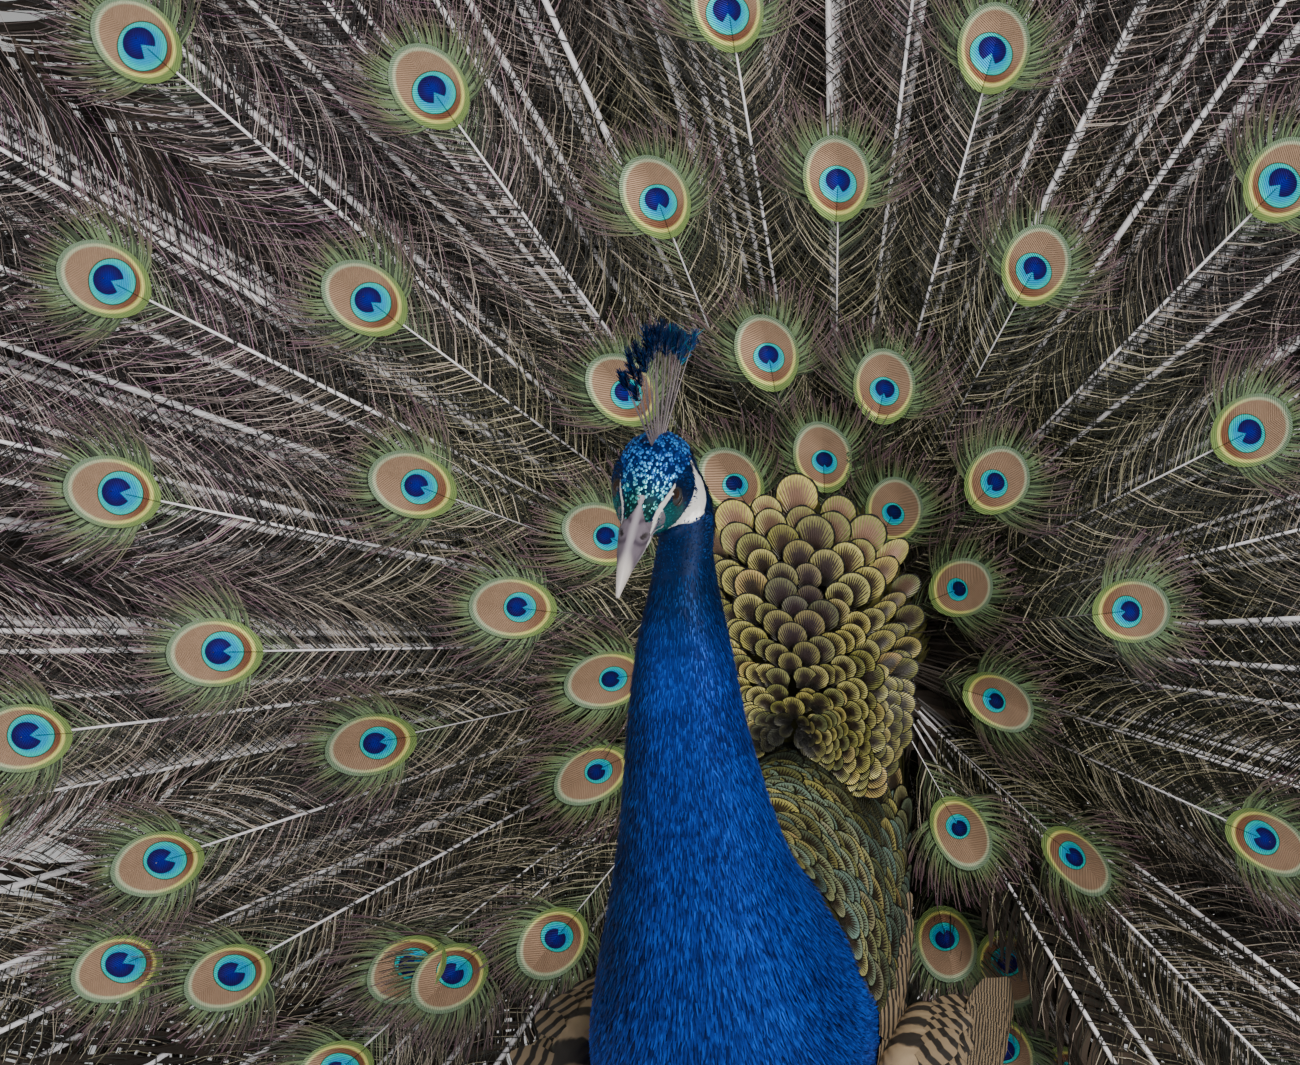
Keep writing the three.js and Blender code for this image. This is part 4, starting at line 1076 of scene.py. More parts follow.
def stroke(s, u, path):
    """How far inside a stroke along path a place is, in millimetres. Below nothing is outside."""
    best = np.full(np.shape(s), -99.0)
    for (s0, u0, w0), (s1, u1, w1) in zip(path, path[1:]):
        length = (s1 - s0) ** 2 + (u1 - u0) ** 2
        t = np.clip(((s - s0) * (s1 - s0) + (u - u0) * (u1 - u0)) / length, 0, 1)
        off = np.hypot(s - lerp(s0, s1, t), u - lerp(u0, u1, t))
        best = np.maximum(best, lerp(w0, w1, t) - off)
    return best


def face_marks(points):
    """Millimetres inside the white skin, the crown, and the teal of the cheek; and closeness to the head."""
    s, t, u = in_head(points)
    white = np.maximum(stroke(s, u, WHITE_STRIPE), stroke(s, u, WHITE_CRESCENT))
    white = np.where(abs(t) > 4, white - 0.45 * (t < 0), -OUTSIDE)
    edge = np.interp(s, [-34, -24, -14, 3, 12, 23, 32], [7, 10.0, 10.8, 11.6, 9.2, 5.0, 2.4])
    crown = np.where(s > -33, u - edge, -OUTSIDE)
    cheek = 8.5 - np.hypot((s - 13.5) * 0.85, u + 3.4)
    near = smooth((46 - np.linalg.norm(points - HEAD, axis=-1)) / 8)
    return white, crown, cheek, near


def blue_border(turn):
    """The station where the blue ends: far back on the belly, near the neck's root on the back."""
    heights = [-0.4, 0.0, 0.16, 0.36, 0.59, 0.67, 1.0]
    return np.interp(np.sin(turn), heights, [10.8, 9.5, 8.7, 8.1, 7.6, 7.1, 6.6])


def zones(points):
    """Where the coat is blue, bronze-scaled, or buff; the rest is the dark of the belly and vent."""
    q, turn, _ = along_body(points)
    blue = smooth((blue_border(turn) - q) / 0.5 + 0.5)
    x, y, z = points.T
    bronze = smooth((np.sin(turn) + 0.3) / 0.3) * (1 - blue) * smooth((112 - y) / 10)
    leg = smooth((285 - z) / 30) * smooth((90 - y) / 10) * (z < 300)
    buff = smooth((300 - z) / 40) * (y > -120) * (abs(x) > 14) * (y < 78)
    return blue, bronze, np.maximum(buff, leg) * (1 - blue)


def coat_values(points):
    """The numbers that the coat's and skin's material reads, so both carry the same markings."""
    values = dict(zip(("blue", "bronze", "buff"), zones(points)))
    *marks, near = face_marks(points)
    for key, mark in zip(("white", "crown", "cheek"), marks):
        values[key] = mark * near - OUTSIDE * (1 - near)
    q, turn, _ = along_body(points)
    # Painted shade: the bird's right side of the neck is darkened towards navy. Near the head the neck turns
    # darker navy too, partly its real colour and partly painted shadow under the head.
    shaded = smooth((-np.cos(turn) - 0.2) / 0.65) * 0.8 * smooth((8 - q) / 2)
    values["dark"] = np.maximum(smooth((points[:, 2] - 572) / 50) * 0.92, shaded)
    values["front"] = smooth((in_head(points)[0] + 4) / 26)
    return values


def coat_look():
    """The plumage of the whole body: a hue for each zone, from dark to light by one shared pattern."""
    look = Look("coat_look", Roughness=0.5, Metallic=0.35, Specular_IOR_Level=0.16)
    soft = look.noise(14.0, 3.0)
    fine = look.noise(160.0, 4.0)
    share = look.value("tone") * 0.48 + soft * 0.5 + fine * 0.42 - 0.09

    def hue(*stops):
        return look.ramp(share, *stops)

    blue = hue(
        (0.15, (0.0, 0.003, 0.022)), (0.42, (0.001, 0.012, 0.11)), (0.64, (0.004, 0.034, 0.29)),
        (0.92, (0.010, 0.10, 0.62)),
    )
    navy = hue((0.2, (0.0, 0.002, 0.008)), (0.6, (0.0, 0.010, 0.045)), (0.9, (0.002, 0.04, 0.16)))
    bronze = hue((0.2, (0.012, 0.011, 0.004)), (0.55, (0.05, 0.05, 0.014)), (0.9, (0.16, 0.14, 0.04)))
    dusk = hue((0.2, (0.006, 0.006, 0.006)), (0.6, (0.02, 0.022, 0.018)), (0.9, (0.05, 0.05, 0.04)))
    buff = hue((0.2, (0.09, 0.065, 0.04)), (0.55, (0.25, 0.19, 0.12)), (0.9, (0.42, 0.34, 0.23)))
    cheek = hue((0.3, (0.002, 0.02, 0.025)), (0.6, (0.005, 0.10, 0.115)), (0.9, (0.03, 0.26, 0.25)))
    # The crown's skin: dark blue, teal towards the bill, kept dark as painted shade in the gaps between the
    # crown plates.
    crown_gap_shade = look.ramp(
        look.value("front"),
        (0.0, (0.0, 0.012, 0.09)), (0.55, (0.0, 0.020, 0.09)), (1.0, (0.0, 0.022, 0.024)),
    )
    colour = look.layers(
        dusk,
        (look.value("buff"), buff),
        (look.value("bronze"), bronze),
        # dark turns the blue to navy: painted shade on the neck's right side, and partly painted shadow near
        # the head
        (look.value("blue"), look.mix(look.value("dark"), blue, navy)),
        (look.value("cheek").step(-1.5, 1.0), cheek),
        (look.value("crown").step(-0.6, 0.4), crown_gap_shade),
        (look.value("white").step(-0.25, 0.25), (0.78, 0.76, 0.72)),
    )
    return look.finish(colour, fine, 0.4)


# ---------------------------------------------------------------- small feathers
BLADE_STEPS = 4


def blades(root, normal, lie, length, half, lift):
    """Thin feathers lying along the coat: their paths and their half widths."""
    t = np.linspace(0, 1, BLADE_STEPS)
    rise = -0.8 + (0.8 + lift[:, None]) * t ** 0.7
    forward = lie[:, None] * (length[:, None] * t)[..., None]
    paths = root[:, None] + forward + normal[:, None] * rise[..., None]
    return paths, half[:, None] * np.interp(t, [0, 0.35, 0.75, 1], [0.7, 1, 0.8, 0.12])


def unwrap(points):
    """OFBake places on the skin: round the body and along it."""
    q, turn, _ = along_body(points)
    return join(0.02 + 0.96 * (turn / (2 * math.pi) + 0.5), 0.02 + 0.96 * q / LAST_STATION)


def cover(surface, name, spacing, where, length, half, lift, seed, lie=None, spread=0.12):
    """Covers a zone of the skin with blades. Length, half width and lift are functions of the places."""
    rng = np.random.default_rng(seed)
    root, normal = surface.scatter(spacing, where, rng)
    way = lie(root) if lie else along_body(root)[2]
    way = tangent(unit(way) + spread * rng.standard_normal(root.shape), normal)
    n = len(root)
    paths, halves = blades(
        root, normal, way, length(root) * rng.uniform(0.8, 1.15, n), half(root) * rng.uniform(0.85, 1.15, n),
        lift(root) * rng.uniform(0.4, 1.3, n),
    )
    points, faces = ribbons(paths, halves, normal[:, None])
    values = each(dict(coat_values(root), tone=tones(rng, n, 0.28)), BLADE_STEPS * 2)
    t = np.repeat(np.linspace(0, 1, BLADE_STEPS), 2)
    values["tone"] = np.clip(values["tone"] + np.tile(0.22 * t - 0.1, n), 0, 1)  # the tips are lighter
    piece(name, points, faces, COAT, {"OFBake": ribbon_map(unwrap(root), BLADE_STEPS)}, values)


def vanes(root, lie, across, face, length, width, lift, outline, rows=7, columns=5, camber=0.12, bend=0.0):
    """Broad feathers as small grids: outline gives the share of the width at each share of the length."""
    v = np.linspace(0, 1, rows)[:, None]
    w = np.linspace(-1, 1, columns)
    share = np.array([outline(x) for x in v[:, 0]])[:, None]
    wide = width[:, None, None] / 2 * share * w
    out = lift[:, None, None] * v ** 1.3 - camber * width[:, None, None] * (share * w) ** 2 - bend * v * v
    points = (root[:, None, None] + lie[:, None, None] * (length[:, None, None] * v)[..., None]
              + across[:, None, None] * wide[..., None] + face[:, None, None] * out[..., None])
    vane = np.broadcast_to(join(share * w, v), (len(root), rows, columns, 2))
    return points.reshape(-1, 3), grid_faces(len(root), rows, columns), vane.reshape(-1, 2)


def islands(vane, count):
    """OFBake places for broad feathers: each has its own cell of a grid."""
    across = math.ceil(math.sqrt(count))
    number = np.repeat(np.arange(count), len(vane) // count)
    cell = np.stack([number % across, number // across], -1)
    local = np.stack([vane[:, 0] / 2 + 0.5, vane[:, 1]], -1)
    return (cell + 0.06 + 0.88 * np.clip(local, 0, 1)) / across


def scale_outline(v):
    return 0.5 + 0.5 * smooth(v / 0.5) if v < 0.5 else math.sqrt(max(1 - ((v - 0.5) / 0.505) ** 2, 0.0))


def flight_outline(v):
    return float(np.interp(v, [0, 0.1, 0.35, 0.85, 0.96, 1], [0.25, 0.6, 1, 0.92, 0.6, 0.12]))


# ---------------------------------------------------------------- looks of the broad feathers
def scale_look():
    """The rounded feathers of the back and rump: a brown heart, gold-green web and black rim."""
    look = Look("scale_look", Roughness=0.38, Metallic=0.25, Specular_IOR_Level=0.5)
    x, v = look.map("Vane")
    tone = look.value("tone")
    dusky = look.value("dusky")
    outer = ((v - 0.5) * 2.0).high(0.0)
    rim = (x ** 2.0 + outer ** 2.0) ** 0.5
    fan = (look.math("ARCTAN2", x, v + 0.12) * 46.0).sin() * 0.5 + 0.5
    speck = look.noise(420.0, 3.0)
    gold = look.ramp(
        tone * 0.7 + speck * 0.35,
        (0.1, (0.17, 0.20, 0.035)), (0.45, (0.54, 0.50, 0.095)), (0.7, (1.0, 0.84, 0.21)),
        (1.0, (0.70, 0.36, 0.13)),
    )
    gold = look.layers(
        gold, (dusky * 0.85, (0.12, 0.075, 0.075)), (look.value("green"), (0.24, 0.42, 0.37)),
    )
    heart = look.layers(
        (0.030, 0.018, 0.010), (look.value("pink"), (0.36, 0.20, 0.125)), (dusky, (0.05, 0.028, 0.04)),
    )
    colour = look.layers(
        heart,
        ((rim + (fan - 0.5) * 0.5 + (speck - 0.5) * 0.4).step(0.44, 0.76), gold),
        (fan.step(0.5, 0.95) * 0.5, (0.030, 0.024, 0.010)),
        ((rim + (speck - 0.5) * 0.05).step(0.87, 0.92), (0.003, 0.003, 0.002)),
        # Painted shade: the root half of each scale, under the row above, goes near black.
        (v.step(0.42, 0.1) * 0.9, (0.010, 0.009, 0.006)),
        # Painted shade and shadow, as the dark value gives them; on the back some scales are also darker at
        # random.
        (look.value("dark") * 0.92, (0.005, 0.005, 0.004)),
    )
    return look.finish(colour, fan, 0.25)


def barred_look():
    """Wing coverts: buff with black bars."""
    look = Look("barred_look", Roughness=0.6)
    x, v = look.map("Vane")
    wave = look.noise(70.0, 3.0)
    phase = v * look.value("bars") * 13.0 + wave * 3.0 + look.value("tone") * 6.0 - abs(x) * 1.5
    bars = phase.sin().step(-0.2, 0.35)
    barbs = ((v * 30.0 - abs(x) * 12.0) * 6.0).sin() * 0.5 + 0.5
    buff = look.mix(wave, (0.42, 0.31, 0.19), (0.30, 0.21, 0.12))
    colour = look.mix(bars, buff, (0.028, 0.022, 0.018))
    return look.finish(colour, barbs, 0.3)


def plain_vane_look(name, pale, deep, edge):
    """A flight or tail feather in one hue: barbs from a paler shaft to a darker edge."""
    look = Look(name, Roughness=0.55)
    x, v = look.map("Vane")
    barbs = ((v * 40.0 - abs(x) * 14.0) * 7.0).sin() * 0.5 + 0.5
    mottle = look.noise(45.0, 4.0)
    colour = look.layers(
        deep,
        (mottle * 0.8 + barbs * 0.2, pale),
        ((abs(x) * 0.6 + v * 0.5).step(0.55, 1.1) * 0.8, edge),
        (abs(x).step(0.07, 0.03) * v.step(1.0, 0.6), (0.38, 0.31, 0.22)),
    )
    return look.finish(colour, barbs, 0.3)


# ---------------------------------------------------------------- skin and coat
skin_points, skin_triangles = make_skin()
for _ in range(2):
    middles = skin_points[skin_triangles].mean(1)
    near_face = (np.linalg.norm(middles - HEAD, axis=1) < 36) & (in_head(middles)[0] > -36)
    skin_points, skin_triangles = refine(skin_points, skin_triangles, near_face)
skin = Surface(skin_points, skin_triangles)

COAT = coat_look()
skin_values = coat_values(skin_points)
skin_values["tone"] = np.full(len(skin_points), 0.25)
piece(
    "skin", skin_points, skin_triangles, COAT, None, skin_values,
    ["head", "neck_upper", "neck_lower", "torso", "rump", "vent", "thigh_left", "thigh_right"],
)


def neck_zone(points):
    blue, _, _ = zones(points)
    return (blue > 0.3) & (np.linalg.norm(points - HEAD, axis=1) > 38)


def size_by_neck(small, large):
    return lambda points: lerp(small, large, smooth((640 - points[:, 2]) / 190))


def belly_zone(points):
    blue, bronze, buff = zones(points)
    return (blue <= 0.35) & (bronze < 0.6) & (buff < 0.5) & (points[:, 2] < 540)


def rump_zone(points):
    _, bronze, _ = zones(points)
    x, y, z = points.T
    return (z > 440) & (y > np.where(abs(x) > 24, 16, 58)) & ((bronze > 0.3) | (z >= 540))


def even(size):
    return lambda points: np.full(len(points), float(size))


BREAST_TOP = 470  # from here up the feathers are the neck's small ones

cover(skin, "neck_feathers", 1.42, lambda p: neck_zone(p) & (p[:, 2] > BREAST_TOP),
      size_by_neck(4.8, 8), size_by_neck(0.30, 0.42), size_by_neck(0.7, 1.1), 11)
cover(skin, "breast_feathers", 1.72, lambda p: neck_zone(p) & (p[:, 2] <= BREAST_TOP),
      size_by_neck(5, 9.5), size_by_neck(0.36, 0.54), size_by_neck(0.8, 1.4), 12)
cover(skin, "belly_feathers", 4.2, belly_zone, even(26), even(2.2), even(2.6), 13, spread=0.25)
cover(skin, "thigh_plumage", 3.2, lambda p: zones(p)[2] >= 0.5,
      even(17), even(1.5), even(1.6), 14, lambda p: np.array([0.0, 0.35, -1.0]) + 0 * p)
cover(skin, "rump_plumage", 3.0, rump_zone,
      even(17), even(2.3), even(3.2), 15, lambda p: join(0.02 * p[:, 0], 0.1, 1), spread=0.2)

# ---------------------------------------------------------------- scale feathers of the back and rump
SCALE = scale_look()
HOLLOW_Z = 466  # the middle that the rump's rows are set round
FIRST_ROW, LAST_ROW = 4.0, 112.0
WRAP = 15  # how far the rows' ends bend back over the rump's sides


def rump_place(a, reach, d):
    """Where the scales' roots stand: a sheet that leans back with its height and wraps round the sides."""
    x = reach * np.sin(a)
    y = 10 + 0.0017 * reach ** 2 + 5 * np.exp(-(d / 22) ** 2) + WRAP * smooth((abs(x) - 32) / 20)
    return join(x, y, HOLLOW_Z + reach * np.cos(a))


def rump_scales(rng):
    """Rows round the hollow, as root, lie, across, length, width and the numbers for the look."""
    found = []
    d, row = FIRST_ROW, 0
    end = 125
    while d < LAST_ROW:
        pitch = lerp(5.0, 9.6, (d / LAST_ROW) ** 0.85)
        width = 2.2 * pitch
        count = max(5, int(math.radians(2 * end) * d * 0.74 / (0.55 * width)))
        angle = np.linspace(-end, end, count) + (row % 2) * end / count + rng.normal(0, 0.8, count)
        narrow = smooth(abs(angle) / 80) + 0.15 * np.clip(abs(angle) / 90 - 1, 0, 1)
        reach = d * (1 - 0.55 * narrow) + rng.normal(0, 0.6, count)
        a = np.radians(angle)
        root = rump_place(a, reach, d)
        lie = unit(rump_place(a, reach + 1, d) - root - np.array([0, 0.2, 0]))
        across = unit(rump_place(a + 0.02, reach, d) - root)
        size = rng.uniform(0.84, 1.16, count) * (1 - 0.3 * narrow)
        x, z = root[:, 0], root[:, 2]
        dusky = 0.95 * np.exp(-((x - 3) / 13) ** 2 - ((z - 522) / 30) ** 2) + 0.15 * rng.random(count)
        tip = root + lie * (1.8 * pitch)
        # Painted shadow: scales whose tips lie in the hollow under the raised rump are darkened, and painted
        # shade darkens the rump's sides low down.
        dark = smooth((27 - np.hypot(tip[:, 0] + 4, (tip[:, 2] - 457) / 0.8)) / 9)
        dark = np.maximum(dark, 0.55 * smooth((abs(x) - 24) / 20) * smooth((548 - z) / 16))
        pink = smooth((d - 80) / 26) * smooth((z - 505) / 40)
        found.append((root, lie, across, 2.3 * pitch * size, width * size, dusky, pink, np.clip(dark, 0, 1)))
        d += pitch
        row += 1
    return [np.concatenate(part) for part in zip(*found)]


def back_scales(rng):
    """Rows over the back from the neck's root to the rump."""
    found = []
    q, row = 6.3, 0
    count = 21
    while q < 13.8:
        pitch = lerp(7.6, 10.5, (q - 6) / 7)
        width = 2.5 * pitch
        turn = np.radians(np.linspace(-16, 196, count) + (row % 2) * 5.2 + rng.normal(0, 1.6, count))
        station = q + rng.normal(0, 0.02, count)
        root, lie, across, _ = body_frame(station, turn, -SKIN_DEPTH + 0.4)
        size = rng.uniform(0.9, 1.12, count)
        # Painted shade: darker in the hollow where the back meets the raised rump, and down the back's sides.
        # The last line darkens some scales at random, as real tone.
        shade = smooth((q - 9.9) / 1.4) * smooth((np.sin(turn) - 0.25) / 0.4)
        shade = np.maximum(shade, 0.6 * smooth((q - 8) / 1.5) * smooth((0.5 - np.sin(turn)) / 0.4))
        shade = np.maximum(shade, 0.7 * rng.random(count) ** 2.5)
        made = root, lie, across, 2.3 * pitch * size, width * size, 0.15 * rng.random(count), 0 * size, shade
        clear = q > blue_border(turn) - 0.12
        found.append([part[clear] for part in made])
        q += pitch / 34
        row += 1
    return [np.concatenate(part) for part in zip(*found)]


def make_scales(name, made, rng, lift, green):
    """Scale feathers as vanes, lifted and greened as far as these say."""
    root, lie, across, length, width, dusky, pink, dark = made
    face = unit(np.cross(across, lie))
    if name.startswith("back"):
        face = -face
    n = len(root)
    points, faces, vane = vanes(
        root, lie, across, face, length, width, lift * rng.uniform(0.7, 1.4, n), scale_outline, 8, 7, 0.035,
    )
    values = {"tone": tones(rng, n, 0.28), "dusky": np.clip(dusky, 0, 1), "pink": pink, "dark": dark}
    values = each(dict(values, green=green * rng.uniform(0.1, 1, n)), len(points) // n)
    piece(name, points, faces, SCALE, {"Vane": vane, "OFBake": islands(vane, n)}, values)


scale_rng = np.random.default_rng(SCALE_SEED)
make_scales("rump_scales", rump_scales(scale_rng), scale_rng, 2.0, 0.2)
make_scales("back_scales", back_scales(scale_rng), scale_rng, 3.2, 1.0)

# ---------------------------------------------------------------- the face and crown
def face_zone(points):
    """The feathered face and nape near the head, off the white skin, the crown and the bill."""
    white, crown, _, _ = face_marks(points)
    s, t, u = in_head(points)
    close = np.linalg.norm(points - HEAD, axis=1) < 40
    off_eye = np.hypot(s - EYE[0] - 0.4, u - EYE[2]) > EYE_RADIUS
    return close & (white < -0.1) & (crown < 0.2) & (s < 27) & (off_eye | (abs(t) < 6))


def head_lie(points):
    """From the bill backwards, then down the neck."""
    s, _, _ = in_head(points)
    share = smooth((6 - s) / 22)[:, None]
    return lerp(-head_s + 0 * points, along_body(points)[2], share)


def by_face(small, large):
    return lambda points: lerp(small, large, smooth((8 - in_head(points)[0]) / 26))


cover(skin, "face_feathers", 0.95, face_zone,
      by_face(2.0, 5.0), by_face(0.28, 0.4), by_face(0.35, 0.7), 31, head_lie, 0.1)


def crown_look():
    """The curled metallic plates of the crown: each is dark at its rim and bright where it bulges."""
    look = Look("crown_look", Roughness=0.34, Metallic=0.55, Specular_IOR_Level=0.5)
    x, v = look.map("Vane")
    tone = look.value("tone")
    patchy = look.noise(240.0, 3.0)
    share = look.value("front") + (patchy - 0.5) * 0.5
    deep = look.ramp(
        share, (0.0, (0.0, 0.03, 0.22)), (0.45, (0.0, 0.075, 0.30)), (0.75, (0.0, 0.11, 0.20)),
        (1.0, (0.002, 0.06, 0.05)),
    )
    bright = look.ramp(
        share, (0.0, (0.04, 0.32, 1.0)), (0.45, (0.16, 0.66, 1.0)), (0.75, (0.20, 0.78, 0.84)),
        (1.0, (0.03, 0.30, 0.26)),
    )
    bulge = (x ** 2.0 + ((v - 0.55) * 2.0) ** 2.0) ** 0.5
    # Painted highlight: where each plate bulges it takes the bright hue, fully on some plates and less on
    # others.
    lit = bulge.step(0.85, 0.3) * tone.step(0.12, 0.75)
    colour = look.mix(lit, deep, bright)
    # Painted shade: the rim of each plate goes near black, as the dark gaps between the plates.
    colour = look.mix(bulge.step(0.85, 1.15) * 0.8, colour, (0.0, 0.008, 0.03))
    return look.finish(colour, patchy, 0.1)


def plate_outline(v):
    return 0.35 + 0.65 * math.sin(math.pi * min(v + 0.12, 1.0) ** 0.8) ** 0.7 if v < 1 else 0.3


def crown_zone(points):
    white, crown, _, _ = face_marks(points)
    s, t, u = in_head(points)
    return (crown > -0.4) & (white < 0.1) & (s < 31) & ~in_wedge(s, t, u)


def in_wedge(s, t, u):
    """The bare horn that runs up the forehead."""
    return (s > 19) & (abs(t) < np.interp(s, [19, 24, 29, 33, 36], [0, 1.7, 4.2, 7.6, 12])) & (u > 0)


def make_crown():
    rng = np.random.default_rng(CROWN_SEED)
    root, normal = skin.scatter(1.5, crown_zone, rng)
    n = len(root)
    s, _, _ = in_head(root)
    lie = tangent(unit(-head_s + 0.18 * rng.standard_normal(root.shape)), normal)
    across = np.cross(lie, normal)
    size = lerp(1.0, 0.85, smooth((s - 8) / 18)) * rng.uniform(0.75, 1.15, n)
    root = root - normal * 0.15
    points, faces, vane = vanes(
        root, lie, across, normal, 2.3 * size, 2.15 * size, 1.5 * size, plate_outline, 5, 5, 0.30, 1.0,
    )
    grid = len(points) // n
    maps = {"Vane": vane, "OFBake": patch(np.repeat(unwrap(root), grid, 0), vane[:, 0], vane[:, 1] * 2 - 1)}
    values = each({"tone": rng.random(n), "front": smooth((s + 6) / 30)}, grid)
    piece("crown_plates", points, faces, crown_look(), maps, values)


make_crown()


# ---------------------------------------------------------------- the bill
def horn_look():
    look = Look("horn_look", Roughness=0.42, Specular_IOR_Level=0.45)
    _, along = look.map("Horn")
    stretched = look.node("ShaderNodeMapping", {"Vector": look.place(), "Scale": (3.0, 0.7, 0.7)})
    grain = look.noise(120.0, 4.0, stretched)
    lilac = look.mix(grain, (0.085, 0.068, 0.088), (0.20, 0.165, 0.20))
    colour = look.layers(
        # Painted highlight: paler along the top of the upper bill.
        look.mix(look.value("ridge_highlight") * 0.7, lilac, (0.44, 0.40, 0.43)),
        ((look.value("tip") + (grain - 0.5) * 0.3).step(0.2, 0.9), (0.56, 0.51, 0.48)),
        # Painted shade in the groove round the nostril's flap.
        (look.value("groove_shade") * 0.9, (0.055, 0.040, 0.060)),
        # Painted shade inside the nostril.
        (look.value("hollow"), (0.035, 0.028, 0.03)),
        (look.value("edge"), (0.74, 0.72, 0.70)),
        ((along - 0.99).step(0.0, 0.01), (0.5, 0.45, 0.42)),
    )
    return look.finish(colour, grain, 0.08)


MOUTH = np.array([[17, -6.2], [23, -4.4], [36, -3.4], [50, -4.6], [58, -6.8], [70, -11.5]])  # s, u
UPPER_BILL, LOWER_BILL = (17.0, 66.6), (18.0, 61.0)  # from where to where along s
UPPER_BARE, LOWER_BARE = 31, 25  # from here on the horn shows, in front of the face's feathers
NOSTRIL_S, NOSTRIL_U = 35, 2.6
BILL_STEPS, BILL_SIDES = 120, 40
BILL_TABLE = spline(HEAD_SECTIONS[:BILL_BASE_SECTION + 3][::-1], 200)
HEAD_TABLE = spline(HEAD_SECTIONS, 300)[::-1]
HORN = horn_look()


def section_at(table, s):
    """The middle, half width and heights above and below at s."""
    return [np.interp(s, table[:, 0], table[:, k]) for k in range(1, 5)]


def bill_half(name, upper, node):
    """The upper or lower half of the bill: the solids' sections cut at the mouth line, with its details."""
    s = np.linspace(*(UPPER_BILL if upper else LOWER_BILL), BILL_STEPS)[:, None]
    middle, half, above, below = section_at(BILL_TABLE, s)
    mouth = np.interp(s, *MOUTH.T)
    share = np.linspace(0, 1, BILL_SIDES)
    gap, way, tall, sharp = (0.05, 1, above, 1.22) if upper else (-0.25, -1, below, 1.0)
    start = np.arcsin(np.clip((mouth + gap - middle) / below, -0.95, 0.95))
    turn = start + way * (math.pi - 2 * way * start) * share
    high, wide = np.sin(turn), np.cos(turn)
    reach = np.where(high > 0, tall, below)
    t = half * np.sign(wide) * abs(wide) ** np.where(high > 0, sharp, CHEEK_FULLNESS)
    u = middle + high * reach
    t = t * lerp(1, 0.74, smooth((s - 38) / 20))
    if not upper:
        t, u = t * 0.93, u + 0.15
    along = s + 0 * t

    # squared distances from the nostril and its flap, where 1 is at the rim
    nostril = (s - NOSTRIL_S - 0.12 * abs(t)) / 3.4, u - NOSTRIL_U - 0.16 * (s - NOSTRIL_S)
    nostril = nostril[0] ** 2 + nostril[1] ** 2
    nostril = np.where(abs(t) > 2.4, nostril, 9) if upper else 9 + 0 * t
    flap = ((s - 33) / 8.0) ** 2 + ((u - 3.4) / 2.9) ** 2
    shown = np.where(u > 0, in_wedge(along, t, u), along > UPPER_BARE) if upper else along > LOWER_BARE
    rise = np.where(shown, 0.12, -1.1) - 1.0 * smooth((1.2 - nostril) / 0.9)
    values = {
        "tip": smooth((s - 38) / 24) * smooth(1.1 - abs(t) / 6 + 0.6 * smooth((s - 50) / 14)),
        # painted highlight along the culmen
        "ridge_highlight": smooth(1 - abs(t) / 2.6) * (high > 0),
        # painted shade inside the nostril's opening
        "hollow": smooth((1.15 - nostril) / 0.5),
        "edge": 0 * t,
        "groove_shade": 0 * t,
    }
    if upper:
        rise = rise + 0.45 * smooth((1.2 - flap) / 0.9) * (nostril > 1.0)
        rise = rise - 0.25 * smooth(1 - abs(u - mouth - 2.2) / 1.0)
        lip = smooth(1 - (u - mouth) / 2.2) * smooth((52 - s) / 14) * 0.85
        values["edge"] = np.maximum(lip, smooth(stroke(along, u, WHITE_STRIPE) + 0.5))
        # painted shade: a dark band in the groove just outside the raised flap
        values["groove_shade"] = np.exp(-((np.sqrt(flap) - 1.15) / 0.22) ** 2) * (abs(t) > 2)
    out = unit(join(0, t / half ** 2, (u - middle) / reach ** 2))
    points = head_point(s, t, u) + (out * rise[..., None]) @ HEAD_AXES

    # an inner column at each side closes the half towards the mouth, and a fan closes its tip
    columns = BILL_SIDES + 2
    spread = np.clip(np.arange(columns) - 1, 0, BILL_SIDES - 1)
    closed = points[:, spread]
    inner = head_point(s[:, 0], 0, mouth[:, 0] + (0.6 if upper else -0.9))
    for column in (0, -1):
        closed[:, column] = lerp(points[:, column], inner, 0.9)
    tip = closed[-1].mean(0) + head_s * 0.3 - head_u * 0.1
    points = np.concatenate([closed.reshape(-1, 3), [tip]])
    last = (BILL_STEPS - 1) * columns
    j = np.arange(columns)
    cap = np.stack([last + j, last + (j + 1) % columns, np.full(columns, len(points) - 1)], -1)

    def for_points(value):
        """A number of the open grid, for every point of the closed mesh."""
        value = np.broadcast_to(value, t.shape)[:, spread].ravel()
        return np.append(value, value[-1])

    horn = join(share, np.linspace(0, 0.98, BILL_STEPS)[:, None])[:, spread].reshape(-1, 2)
    horn = np.concatenate([horn, horn[-1:]])
    values = {key: for_points(value) for key, value in values.items()}
    faces = [grid_faces(1, BILL_STEPS, columns, True), cap]
    piece(name, points, faces, HORN, {"Horn": horn, "OFBake": horn}, values, [node])


bill_half("upper_bill", True, "bill_upper")
bill_half("lower_bill", False, "bill_lower")


# ---------------------------------------------------------------- the eyes
def eye_look():
    look = Look("eye_look", Roughness=0.04, Specular_IOR_Level=0.35)
    reach = look.value("reach")
    turn = look.value("turn")
    rays = look.noise(9.0, 3.0, look.node("ShaderNodeCombineXYZ", {0: turn * 3.0, 1: reach * 0.3}))
    iris = look.mix(rays, (0.014, 0.006, 0.003), (0.045, 0.018, 0.008))
    pupil = reach.step(0.50, 0.46), (0.002, 0.002, 0.002)
    rim = reach.step(0.78, 0.9), (0.015, 0.010, 0.008)
    return look.finish(look.layers(iris, pupil, rim))


